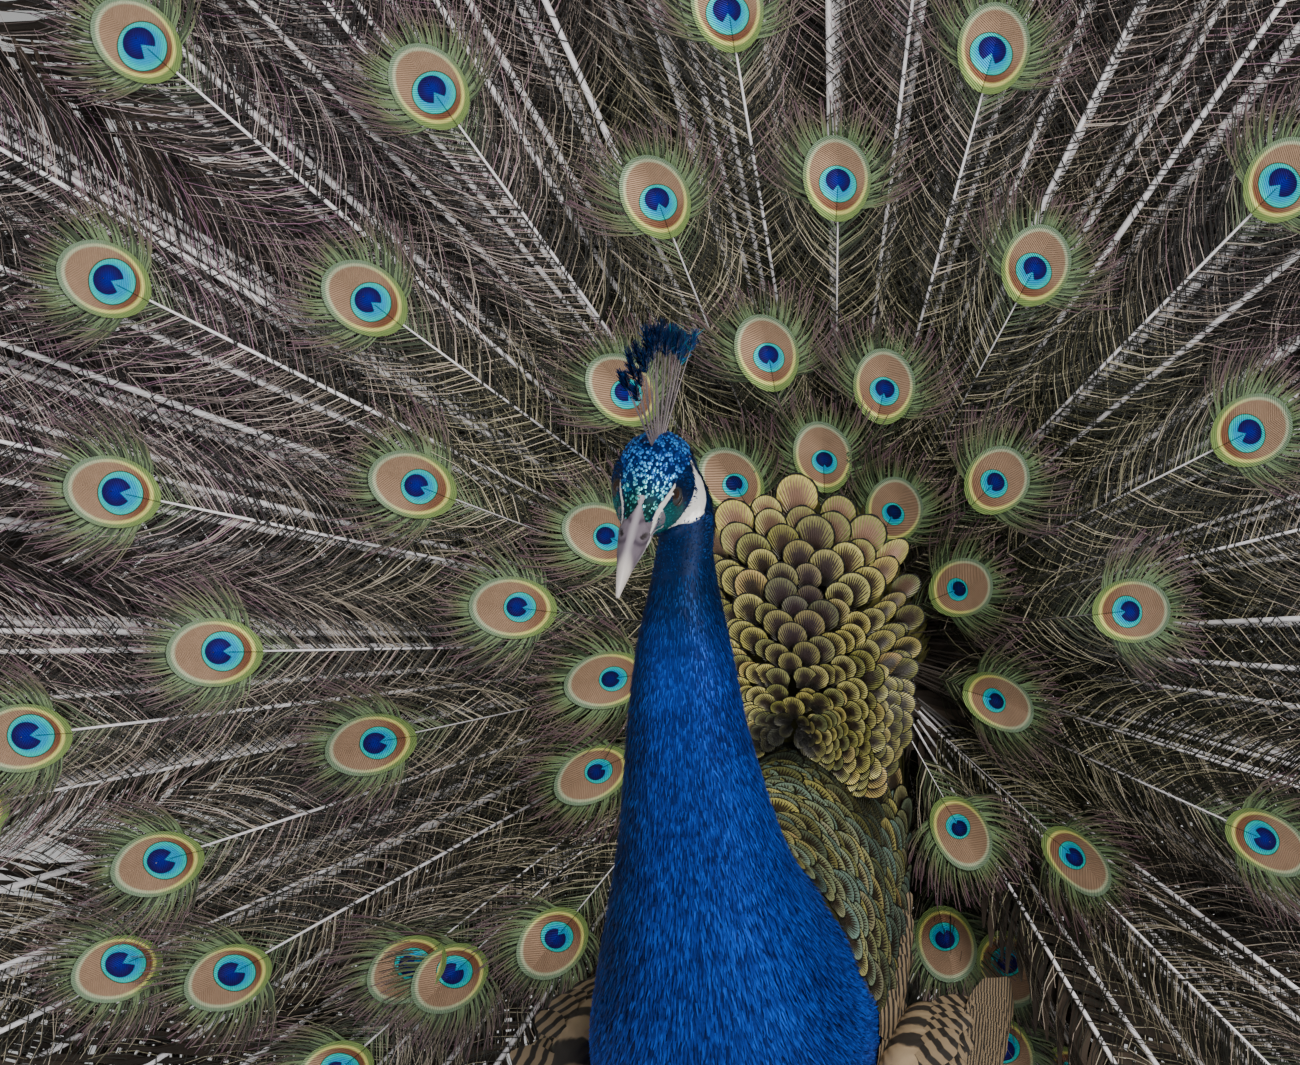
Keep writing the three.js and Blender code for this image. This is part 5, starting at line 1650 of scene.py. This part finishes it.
def lid_look():
    look = Look("lid_look", Roughness=0.55)
    bumps = look.node("ShaderNodeTexVoronoi", {"Vector": look.place(), "Scale": 1500.0})
    # Near-black lid skin, dark partly as painted shade round the eye, which sits in shadow; the lower lid is
    # pinkish brown.
    colour = look.layers(
        (0.004, 0.007, 0.012),
        (look.value("low") * 0.7, (0.055, 0.030, 0.032)),
        (bumps * 0.5, (0.02, 0.015, 0.015)),
    )
    return look.finish(colour, bumps, 0.15)


def head_surface(s, u):
    """How far to the side the head's surface is at s, u."""
    middle, half, above, below = section_at(HEAD_TABLE, s)
    high = np.clip((u - middle) / np.where(u > middle, above, below), -0.99, 0.99)
    wide = np.sqrt(1 - high ** 2)
    return half * np.where(high > 0, wide, wide ** CHEEK_FULLNESS)


EYE_LOOK = eye_look()
LID_LOOK = lid_look()
LID_TILT = 0.24  # radians, down towards the bill
BALL_ROWS, LID_ROWS, EYE_COLUMNS = 28, 14, 48


def eye_grid(name, side, s, t, u, rows, inwards, look, span, values, replaces=()):
    """A mesh beside the head from a grid of s, t, u, mapped over span millimetres round the eye."""
    faces = grid_faces(1, rows, EYE_COLUMNS, True)
    if inwards:
        faces = faces[:, ::-1]
    flat = join((s - EYE[0]) / span + 0.5, (u - EYE[2]) / span + 0.5).reshape(-1, 2)
    points = head_point(s, side * t, u).reshape(-1, 3)
    piece(name, points, faces, look, {"OFBake": flat}, values, replaces)


def make_eye(side, name):
    """The eyeball, and lids that run from it to the head's surface."""
    s0, t0, u0 = EYE
    polar = np.linspace(0.001, math.pi * 0.62, BALL_ROWS)[:, None]
    turn = turns(EYE_COLUMNS)
    s = s0 + EYE_RADIUS * np.sin(polar) * np.cos(turn)
    u = u0 + EYE_RADIUS * np.sin(polar) * np.sin(turn)
    t = t0 + EYE_RADIUS * np.cos(polar)
    values = {"reach": (polar / 1.1 + 0 * turn).ravel(), "turn": (turn + 0 * polar).ravel()}
    eye_grid(f"{name}_ball", side, s, t, u, BALL_ROWS, side < 0, EYE_LOOK, 14, values, [name])

    share = np.linspace(0, 1, LID_ROWS)[:, None]
    high = np.where(np.sin(turn) > 0, lerp(2.9, 6.4, share), lerp(3.0, 6.4, share))
    x = lerp(4.3, 8.4, share) * np.cos(turn)
    y = high * np.sin(turn) * (1 - 0.25 * np.cos(turn) ** 2)
    s = s0 + 0.3 + x * math.cos(LID_TILT) - y * math.sin(LID_TILT)
    u = u0 - x * math.sin(LID_TILT) + y * math.cos(LID_TILT)
    ball = t0 + np.sqrt(np.maximum((EYE_RADIUS + 0.25) ** 2 - (s - s0) ** 2 - (u - u0) ** 2, 0.2))
    surface = head_surface(s, u) - 1.5 - 1.2 * smooth((share - 0.75) / 0.25)
    lip = 0.45 * np.exp(-((share - 0.13) / 0.1) ** 2) + 0.25 * np.exp(-((share - 0.45) / 0.12) ** 2)
    t = lerp(ball, surface, smooth((share - 0.1) / 0.75)) + lip
    t[0] -= 0.9
    low = smooth(0.55 - np.sin(turn) * 0.9) * smooth((0.75 - share) / 0.3)
    values = {"low": low.ravel()}
    eye_grid(f"{name}_lids", side, s, t, u, LID_ROWS, side > 0, LID_LOOK, 24, values)


make_eye(1, "eye_left")
make_eye(-1, "eye_right")

# ---------------------------------------------------------------- the crest
CREST_FEATHERS = 27
CREST_LENGTH = 55
CREST_LEANS = -38, 40  # of the last and first feather
CREST_TURN = math.radians(10)
crest_ahead = np.array([-math.sin(CREST_TURN), -math.cos(CREST_TURN), 0])
crest_aside = np.cross(UP, crest_ahead)
PADDLE = 8.8  # the length of the close barbs at the tip
PADDLE_BARBS = 84
LOW_HAIRS = 14
CREST_STEPS, CREST_SHAFT_SIDES = 4, 5


def crest_look():
    look = Look("crest_look", Roughness=0.4, Metallic=0.25, Specular_IOR_Level=0.4)
    blue = look.ramp(
        look.value("tone"),
        (0.0, (0.001, 0.004, 0.02)), (0.55, (0.002, 0.02, 0.10)), (0.8, (0.0, 0.07, 0.26)),
        (1.0, (0.01, 0.28, 0.36)),
    )
    shaft = look.mix(look.noise(90.0), (0.25, 0.21, 0.22), (0.10, 0.08, 0.085))
    return look.finish(look.mix(look.value("paddle"), shaft, blue))


def make_crest():
    rng = np.random.default_rng(CREST_SEED)
    parts = Parts()
    root = head_point(-17, 0, 16)
    t = np.linspace(0, 1, CREST_STEPS)
    for i in range(CREST_FEATHERS):
        share = i / (CREST_FEATHERS - 1)
        lean = math.radians(lerp(*CREST_LEANS, share))
        along = crest_ahead * math.sin(lean) + UP * math.cos(lean)
        length = CREST_LENGTH * rng.uniform(0.9, 1.02) - 6 * abs(math.sin(lean))
        sideways = 3.6 * ((i % 3) - 1) + rng.normal(0, 0.8)
        base = root + crest_ahead * (9 * math.sin(lean)) - UP * 1.5

        def at(r):
            """The shaft's places: bowed, and fanned to the side."""
            bow = 1.4 * np.sin(math.pi * r / length) * math.copysign(1, lean)
            fan = sideways * (np.maximum(r, 0) / length) ** 1.5
            return base + along * r[:, None] + crest_ahead * bow[:, None] + crest_aside * fan[:, None]

        r = np.linspace(0, length, 10)
        radii = np.interp(r / length, [0, 0.6, 1], [0.42, 0.3, 0.12])
        points, faces = tubes(at(r)[None], radii[None], CREST_SHAFT_SIDES, crest_aside)
        place = np.array([0.1 + 0.8 * share, 0.1])
        parts.add(points, faces, {"OFBake": place}, {"tone": rng.random(), "paddle": 0})

        # sparse hairs low on the shaft, then the close barbs of the paddle
        foot = np.linspace(length - PADDLE, length, PADDLE_BARBS)
        foot = np.concatenate([rng.uniform(4, length - PADDLE, LOW_HAIRS), foot])
        n = len(foot)
        up = (foot - (length - PADDLE)) / PADDLE
        reach = np.where(up < 0, 1.4, np.interp(up, [0, 0.3, 0.7, 1], [2.6, 4.9, 5.2, 4.2]))
        reach = (reach * rng.uniform(0.85, 1.1, n))[:, None] * t
        side = np.where(np.arange(n) % 2, 1.0, -1.0)
        start = np.radians(np.interp(up, [0, 1], [58, 22]) + rng.normal(0, 7, n))
        angle = start[:, None] * (1 - 0.45 * t)
        x = side[:, None] * np.sin(angle) * reach
        y = np.cos(angle) * reach
        depth = rng.normal(0, 1.5, (n, 1)) * t
        paths = at(foot)[:, None] + np.cross(along, crest_aside) * x[..., None] + along * y[..., None]
        half = np.where(up < 0, 0.07, 0.36)[:, None] * (1 - 0.45 * t)
        points, faces = ribbons(paths + crest_aside * depth[..., None], half, crest_aside)
        # Painted sheen: the feathers that lean back get a raised tone, towards the ramp's bright teal.
        tone = np.clip(rng.normal(0.42, 0.16, n) + 0.26 * (share < 0.3), 0, 1)
        values = each({"tone": tone, "paddle": (up >= 0) * 1.0}, CREST_STEPS * 2)
        parts.add(points, faces, {"OFBake": patch(place, np.tile([-1, 1], len(points) // 2))}, values)
    parts.make("crest_feathers", crest_look(), "crest_feathers", ["crest"])


make_crest()

# ---------------------------------------------------------------- wings
ELBOW, WRIST, HAND = np.array([-22, 323.0]), np.array([-138, 263.0]), np.array([-86, 221.0])  # y, z
WING_INNER = 65  # x of the arm's inner side
FLIGHT_ROW = 77.5  # x of the innermost row of feathers
ARM_ROWS = [  # y, z, half height and half width
    [-30, 329, 12, 12.6], [-70, 329, 17, 15.6], [-112, 321, 24, 16.6], [-136, 293, 26, 16.8],
    [-138, 263, 20, 16.8], [-118, 241, 15, 16.6], [-86, 221, 9, 16],
]
ARM_TABLE = spline(ARM_ROWS, 60)
ARM_STEPS, ARM_SIDES = 40, 24
# Rows of feathers: first and last root, outwards by x and step, how many, lengths, droops, half width.
WING_ROWS = [
    ["secondaries", ELBOW, WRIST, 0.0, 0.78, 12, (176, 226), (30, 44), 17],
    ["primaries", WRIST, HAND, 9.6, 0.85, 10, (246, 212), (44, 60), 12.5],
    ["great_coverts", ELBOW + (WRIST - ELBOW) * 0.12, WRIST, 18.4, 0.12, 13, (104, 112), (28, 44), 12.5],
    ["tertials", ELBOW + [0, 8], ELBOW + [-44, 0], 19.8, 0.35, 6, (150, 130), (22, 30), 20],
    ["middle_coverts", ELBOW + [-4, 4], WRIST + [-2, -6], 20.6, 0.1, 14, (58, 60), (28, 46), 11],
]
BARRED = barred_look()
PRIMARY = plain_vane_look("primary_look", (0.36, 0.17, 0.075), (0.26, 0.11, 0.045), (0.15, 0.07, 0.035))
SECONDARY = plain_vane_look(
    "secondary_look", (0.055, 0.048, 0.045), (0.028, 0.025, 0.024), (0.02, 0.022, 0.03),
)
TAIL_LOOK = plain_vane_look("tail_look", (0.16, 0.125, 0.095), (0.095, 0.075, 0.058), (0.065, 0.05, 0.04))


def feather_piece(name, look, made, outline, rng, rows, columns, camber, sweep=0.0):
    """A wing's broad feathers, from their root, lie, across, face, length, width and lift."""
    root, lie, across, face, length, width, lift = made
    n = len(root)
    points, faces, vane = vanes(root, lie, across, face, length, width, lift, outline, rows, columns, camber)
    v = vane[:, 1]
    back = sweep * np.repeat(length, rows * columns) * v * v
    points = points + np.repeat(across, rows * columns, 0) * back[:, None]
    values = each({"tone": rng.random(n), "bars": length / 18.0}, rows * columns)
    piece(name, points, faces, look, {"Vane": vane, "OFBake": islands(vane, n)}, values)


def wing_row(side, first, last, x, step, count, lengths, droops, half, rng):
    """Flight feathers or coverts side by side: from the first root to the last, each a little further out."""
    share = np.linspace(0, 1, count)
    place = first + (last - first) * share[:, None]
    down = np.radians(lerp(*droops, share) + rng.normal(0, 0.7, count))
    lie = join(0, np.cos(down), -np.sin(down))
    across = join(0, np.sin(down), np.cos(down))
    root = np.column_stack([side * (FLIGHT_ROW + x + step * np.arange(count)), place])
    length = lerp(*lengths, share) * rng.uniform(0.97, 1.03, count)
    face = np.tile([float(side), 0, 0], (count, 1))
    return root - lie * 6, lie, across, face, length, np.full(count, 2.0 * half), np.full(count, 2.0)


def arm_point(side, share, turn, grow=0.0):
    """A point on the wing's arm and hand, from elbow (0) to hand (1)."""
    at = np.linspace(0, 1, len(ARM_TABLE))
    y, z, high, thick = (np.interp(share, at, c) for c in ARM_TABLE.T)
    dy, dz = (np.interp(share, at, np.gradient(c)) for c in ARM_TABLE.T[:2])
    size = np.maximum(np.hypot(dy, dz), 1e-6)
    lift = (high + grow) * np.sin(turn)
    x = side * (WING_INNER + thick + (thick + grow) * np.cos(turn))
    return join(x, y - dz / size * lift, z + dy / size * lift)


def make_wing(side, name):
    rng = np.random.default_rng(WING_SEED + side)
    along, around = np.linspace(0, 1, ARM_STEPS)[:, None], turns(ARM_SIDES)
    points, faces = loft(arm_point(side, along, around, -0.6))
    if side > 0:
        faces = [f[:, ::-1] for f in faces]
    ends = [[0, 0], [0, 1]]
    vane = np.concatenate([join(np.sin(around) * 0.6, along).reshape(-1, 2), ends])
    flat = np.concatenate([join(around / 6.4, along).reshape(-1, 2), ends])
    values = {"tone": np.full(len(points), 0.5), "bars": np.full(len(points), 5.0)}
    maps = {"Vane": vane, "OFBake": flat}
    piece(f"{name}_arm", points, faces, BARRED, maps, values, [name])
    looks = {"secondaries": SECONDARY, "primaries": PRIMARY}
    for part, *row in WING_ROWS:
        made = wing_row(side, *row, rng)
        look = looks.get(part, BARRED)
        feather_piece(f"{name}_{part}", look, made, flight_outline, rng, 14, 7, 0.02, 0.05)

    # lesser coverts in rows over the arm
    share, turn = np.meshgrid(np.linspace(0.0, 0.95, 19), np.radians(np.linspace(112, -62, 9)))
    share = (share + np.where(np.arange(9) % 2, 0.025, 0)[:, None]).ravel()
    turn = turn.ravel()
    root = arm_point(side, share, turn, -1.0)
    normal = unit(root - arm_point(side, share, turn, -4.0))
    lie = unit(np.array([side * 0.1, 0.8, -0.6]) + 0.06 * rng.standard_normal(root.shape))
    lie = tangent(lie, normal)
    n = len(root)
    sizes = [rng.uniform(*limits, n) for limits in ((24, 30), (14, 17), (2.0, 3.4))]
    made = root, lie, np.cross(lie, normal), normal, *sizes
    feather_piece(f"{name}_small_coverts", BARRED, made, scale_outline, rng, 7, 5, 0.08)

    # scapulars over the joint of wing and body
    q, angle = np.meshgrid(np.linspace(9.4, 12.0, 9), np.radians([-4.0, -14.0, -24.0]))
    q = (q + np.array([0.0, 0.16, 0.0])[:, None]).ravel()
    angle = angle.ravel() if side > 0 else math.pi - angle.ravel()
    root, lie, across, normal = body_frame(q, angle, -0.6)
    normal = normal * np.sign((normal * (root - body_at(q, angle, -8))).sum(-1, keepdims=True))
    n = len(root)
    sizes = [rng.uniform(*limits, n) for limits in ((38, 46), (18, 22), (3, 5))]
    made = root, lie, across, normal, *sizes
    feather_piece(f"{name}_scapulars", BARRED, made, scale_outline, rng, 9, 5, 0.06)


make_wing(1, "wing_left")
make_wing(-1, "wing_right")

# ---------------------------------------------------------------- tail
TAIL_FEATHERS = 18
TAIL_SPREAD = 78
TAIL_REACH = 425
TAIL_ROUND = 0.93  # where the tips start to narrow
TAIL_ROOT_Y, TAIL_ROOT_Z = 151, 476
TAIL_ROWS, TAIL_TIP_ROWS, TAIL_COLUMNS = 26, 9, 7


def tail_depth(layer, r, up):
    """How far back a tail feather lies: each layer behind the last, and leaning back with its height."""
    return TAIL_ROOT_Y + layer * 1.25 + 0.03 * r + 0.19 * r * up


def make_tail():
    i = np.arange(TAIL_FEATHERS)[:, None, None]
    angle = lerp(-TAIL_SPREAD, TAIL_SPREAD, i / (TAIL_FEATHERS - 1))
    layer = abs(i - (TAIL_FEATHERS - 1) / 2) + (i % 2) * 0.4
    reach = TAIL_REACH - 55 * (angle / TAIL_SPREAD) ** 2
    straight = np.linspace(0.05, TAIL_ROUND, TAIL_ROWS - TAIL_TIP_ROWS)
    tip = 1 - (1 - TAIL_ROUND) * np.linspace(0.9, 0, TAIL_TIP_ROWS) ** 2
    v = np.concatenate([straight, tip])[None, :, None]
    w = np.linspace(-1, 1, TAIL_COLUMNS)[None, None]
    half = np.interp(v, [0.05, 0.3, 0.5, TAIL_ROUND], [3.5, 13, 18, 25])
    half = half * np.sqrt(1.02 - np.clip((v - TAIL_ROUND) / (1 - TAIL_ROUND), 0, 1) ** 2)
    r = v * reach
    up, out = np.cos(np.radians(angle)), np.sin(np.radians(angle))
    x = r * out + half * w * up
    z = TAIL_ROOT_Z + r * up - half * w * out
    points = join(x, tail_depth(layer, r, up) - 1.6 * w ** 2, z).reshape(-1, 3)
    vane = np.tile(join(w[0], v[0]).reshape(-1, 2), (TAIL_FEATHERS, 1))
    values = each({"tone": np.random.default_rng(TAIL_SEED).random(TAIL_FEATHERS)}, TAIL_ROWS * TAIL_COLUMNS)
    maps = {"Vane": vane, "OFBake": islands(vane, TAIL_FEATHERS)}
    faces = grid_faces(TAIL_FEATHERS, TAIL_ROWS, TAIL_COLUMNS)
    piece("tail_feathers", points, faces, TAIL_LOOK, maps, values, ["tail"])

    # shafts down the back of each, as the tail is seen from behind
    reach, layer, up, out = (part[:, :, 0] for part in (reach, layer, up, out))
    r = np.linspace(0.06, 0.97, 12)[None] * reach
    paths = np.stack([r * out, tail_depth(layer, r, up) + 0.3, TAIL_ROOT_Z + r * up], -1)
    points, faces = tubes(paths, np.broadcast_to(np.linspace(1.7, 0.5, 12), r.shape), 6)
    maps = {"OFBake": np.full((len(points), 2), 0.5)}
    piece("tail_shafts", points, faces, RACHIS, maps)


make_tail()


# ---------------------------------------------------------------- legs and feet
def leg_look():
    """Scaly skin: broad scutes in front, small round scales behind."""
    look = Look("leg_look", Roughness=0.5, Specular_IOR_Level=0.4)
    keys = {"Vector": look.place(), "Scale": 330.0}
    cells = look.node("ShaderNodeTexVoronoi", keys, feature="DISTANCE_TO_EDGE")
    crack = look.mix(look.value("scuted"), cells.step(0.0, 0.22), look.value("plate").step(0.0, 0.22))
    mottled = look.mix(look.noise(60.0, 4.0), (0.15, 0.13, 0.115), (0.30, 0.265, 0.225))
    return look.finish(look.mix(crack, (0.045, 0.038, 0.034), mottled), crack, 0.35)


def claw_look(name, pale, dark):
    look = Look(name, Roughness=0.35)
    streaks = look.noise(70.0, 3.0)
    colour = look.mix(look.value("tip"), pale, dark)
    return look.finish(look.mix(streaks * 0.6, colour, dark), streaks, 0.1)


LEG_LOOK = leg_look()
CLAW_LOOK = claw_look("claw_look", (0.09, 0.075, 0.065), (0.025, 0.02, 0.018))
SPUR_LOOK = claw_look("spur_look", (0.24, 0.21, 0.18), (0.10, 0.085, 0.075))
TOES = [("inner", -26, 50, 5.6), ("middle", 2, 66, 6.4), ("outer", 30, 52, 5.6), ("hind", 172, 26, 4.8)]
SHANK_SCUTE, TOE_SCUTE = 5.6, 4.2  # lengths of their plates
SHANK_ROWS, SHANK_SIDES = 130, 40
TOE_ROWS, TOE_SIDES = 70, 24
CLAW_LENGTH = 14.5
SPUR_Z = 74
SPUR_LENGTH = 24


def saw(x):
    """Rises slowly over each whole step and drops fast, as plates that overlap do."""
    part = x - np.floor(x)
    return np.where(part < 0.86, part / 0.86, (1 - part) / 0.14)


def make_shank(side, name):
    share = np.linspace(0, 1, SHANK_ROWS)[:, None]
    foot = np.array([side * FOOT[0], FOOT[1], ANKLE_Z - 4])
    top = np.array([side * HOCK[0], HOCK[1], HOCK[2] + 3])
    middle = top + (foot - top) * share
    half = np.interp(share, [0, 0.1, 0.25, 0.75, 1], [8.3, 7.4, 6.1, 6.1, 7.4])
    depth = np.interp(share, [0, 0.1, 0.25, 0.75, 1], [9.8, 8.8, 7.0, 6.8, 8.6])
    turn = turns(SHANK_SIDES)
    front = smooth((-np.sin(turn) - 0.05) / 0.5) + 0 * share
    place = share * 145 / SHANK_SCUTE + 0.35 * np.cos(turn) ** 2
    relief = front * 0.55 * (saw(place) - 0.5) + (1 - front) * 0.12 * np.sin(share * 300 + turn * 9)
    notch = -0.8 * np.exp(-((np.sin(turn) - 0.35) / 0.2) ** 2) * (share > 0.12)
    x = middle[:, :1] + (half + relief + notch) * np.cos(turn)
    y = middle[:, 1:2] + (depth + relief + notch * 0.4) * np.sin(turn)
    points = join(x, y, middle[:, 2:]).reshape(-1, 3)
    values = {"plate": (1 - saw(place)).ravel(), "scuted": front.ravel()}
    maps = {"OFBake": join(turn / 6.4, share).reshape(-1, 2)}
    faces = grid_faces(1, SHANK_ROWS, SHANK_SIDES, True)
    piece(f"{name}_tube", points, faces, LEG_LOOK, maps, values, [name])


def toe_axes(side, turn):
    """The directions along and across a toe."""
    a = math.radians(turn) * side
    ahead = np.array([math.sin(a), -math.cos(a), 0])
    return ahead, np.array([-ahead[1], ahead[0], 0])


def horn_piece(rings, t, look, node):
    """A claw or spur through rings, darker with t."""
    mesh, faces = loft(rings)
    values = {"tip": np.append(np.repeat(t, rings.shape[1]), [0.0, 1.0])}
    maps = {"OFBake": np.full((len(mesh), 2), 0.5)}
    piece(f"{node}_horn", mesh, faces, look, maps, values, [node])


def add_loft(parts, rings, flat, values):
    """Adds a closed loft to a mesh in the making."""
    mesh, (quads, ends) = loft(rings)
    first = parts.count
    parts.add(mesh, quads, {"OFBake": flat}, values)
    parts.faces.append(ends + first)


def make_foot(side, name):
    """The toes with scutes above and pads below, joined at the heel, and their claws."""
    parts = Parts()
    heel = np.array([side * FOOT[0], FOOT[1], 0])
    turn = turns(TOE_SIDES)
    high = np.sin(turn)
    marks = [-0.04, 0.2, 0.45, 0.7, 0.9, 1.0, 1.03]
    share = np.linspace(marks[0], marks[-1], TOE_ROWS)[:, None]
    for number, (label, angle, length, half) in enumerate(TOES):
        ahead, across = toe_axes(side, angle)
        wide = half * np.interp(share, marks, [0.95, 1.02, 0.9, 0.86, 0.72, 0.5, 0.2])
        tall = np.interp(share, marks, [15, 13.2, 11.2, 9.8, 8.6, 6.6, 3.6])
        pad = 0.5 * np.cos(share * (length / 17.0) * 2 * math.pi)
        plate = saw(share * length / TOE_SCUTE)
        scutes = 0.4 * (plate - 0.5) * smooth((high - 0.1) / 0.5)
        x = (wide + pad * 0.5) * np.cos(turn) * np.where(high < 0, 0.94, 1)
        z = np.maximum(np.clip(0.45 + 0.55 * high, 0.0, 1) * tall + scutes, 0.0)
        rings = heel + ahead * (share * length)[..., None] + across * x[..., None] + UP * z[..., None]
        flat = join(x / 60 + 0.12 + 0.22 * number, 0.1 + 0.8 * share).reshape(-1, 2)
        values = {"plate": 1 - plate + 0 * turn, "scuted": smooth(high / 0.4) + 0 * share}
        values = {key: np.append(value, [0.0, 0.0]) for key, value in values.items()}
        add_loft(parts, rings, np.concatenate([flat, flat[[0, -1]]]), values)

        steps = np.linspace(-2.5, CLAW_LENGTH, 14)[:, None]
        t = np.clip(steps / CLAW_LENGTH, 0, 1)
        core = heel + ahead * (length + 0.3 + steps)
        size = np.interp(t, [0, 0.35, 0.7, 1], [2.7, 2.1, 1.25, 0.3])
        height = np.interp(t, [0, 0.35, 0.7, 1], [4.4, 4.2, 2.9, 0.9])
        ring = turns(14)
        x = size * np.cos(ring) * 0.85
        z = np.maximum(height + size * np.sin(ring), 0.2)
        rings = core[:, None] + across * x[..., None] + UP * z[..., None]
        horn_piece(rings, t, CLAW_LOOK, name.replace("foot", "claw") + "_" + label)
    share = np.linspace(0, 1, 24)[:, None]
    wide = np.interp(share, [0, 0.3, 0.7, 1], [8.0, 8.8, 8.2, 7.5])
    rings = join(heel[0] + wide * np.cos(turn), heel[1] + wide * 1.15 * np.sin(turn), share * (ANKLE_Z + 1))
    add_loft(parts, rings, np.array([0.97, 0.97]), {"plate": 0.5, "scuted": 0.0})
    parts.make(f"{name}_skin", LEG_LOOK, "leg_scales", [name])


def make_spur(side, name):
    share = (SPUR_Z - ANKLE_Z) / (HOCK[2] - ANKLE_Z)
    root = np.array([side * lerp(FOOT[0], HOCK[0], share), lerp(FOOT[1], HOCK[1], share), SPUR_Z])
    out = unit(np.array([-side * 0.55, 0.82, 0.12]))
    across = unit(np.cross(out, UP))
    up = np.cross(across, out)
    t = np.linspace(0.1, 1, 20)[:, None]
    ring = turns(16)
    size = 4.2 * (1 - t) ** 0.85 + 0.35 + 0.12 * np.sin(t * 60) * (t < 0.5)
    core = root + (out * SPUR_LENGTH * t)[:, None] + UP * (4.5 * t ** 2)[:, :, None]
    rings = core + across * (size * np.cos(ring))[..., None] + up * (size * np.sin(ring))[..., None]
    horn_piece(rings, t, SPUR_LOOK, name)


for leg_side, leg in ((1, "left"), (-1, "right")):
    make_shank(leg_side, f"shank_{leg}")
    make_foot(leg_side, f"foot_{leg}")
    make_spur(leg_side, f"spur_{leg}")
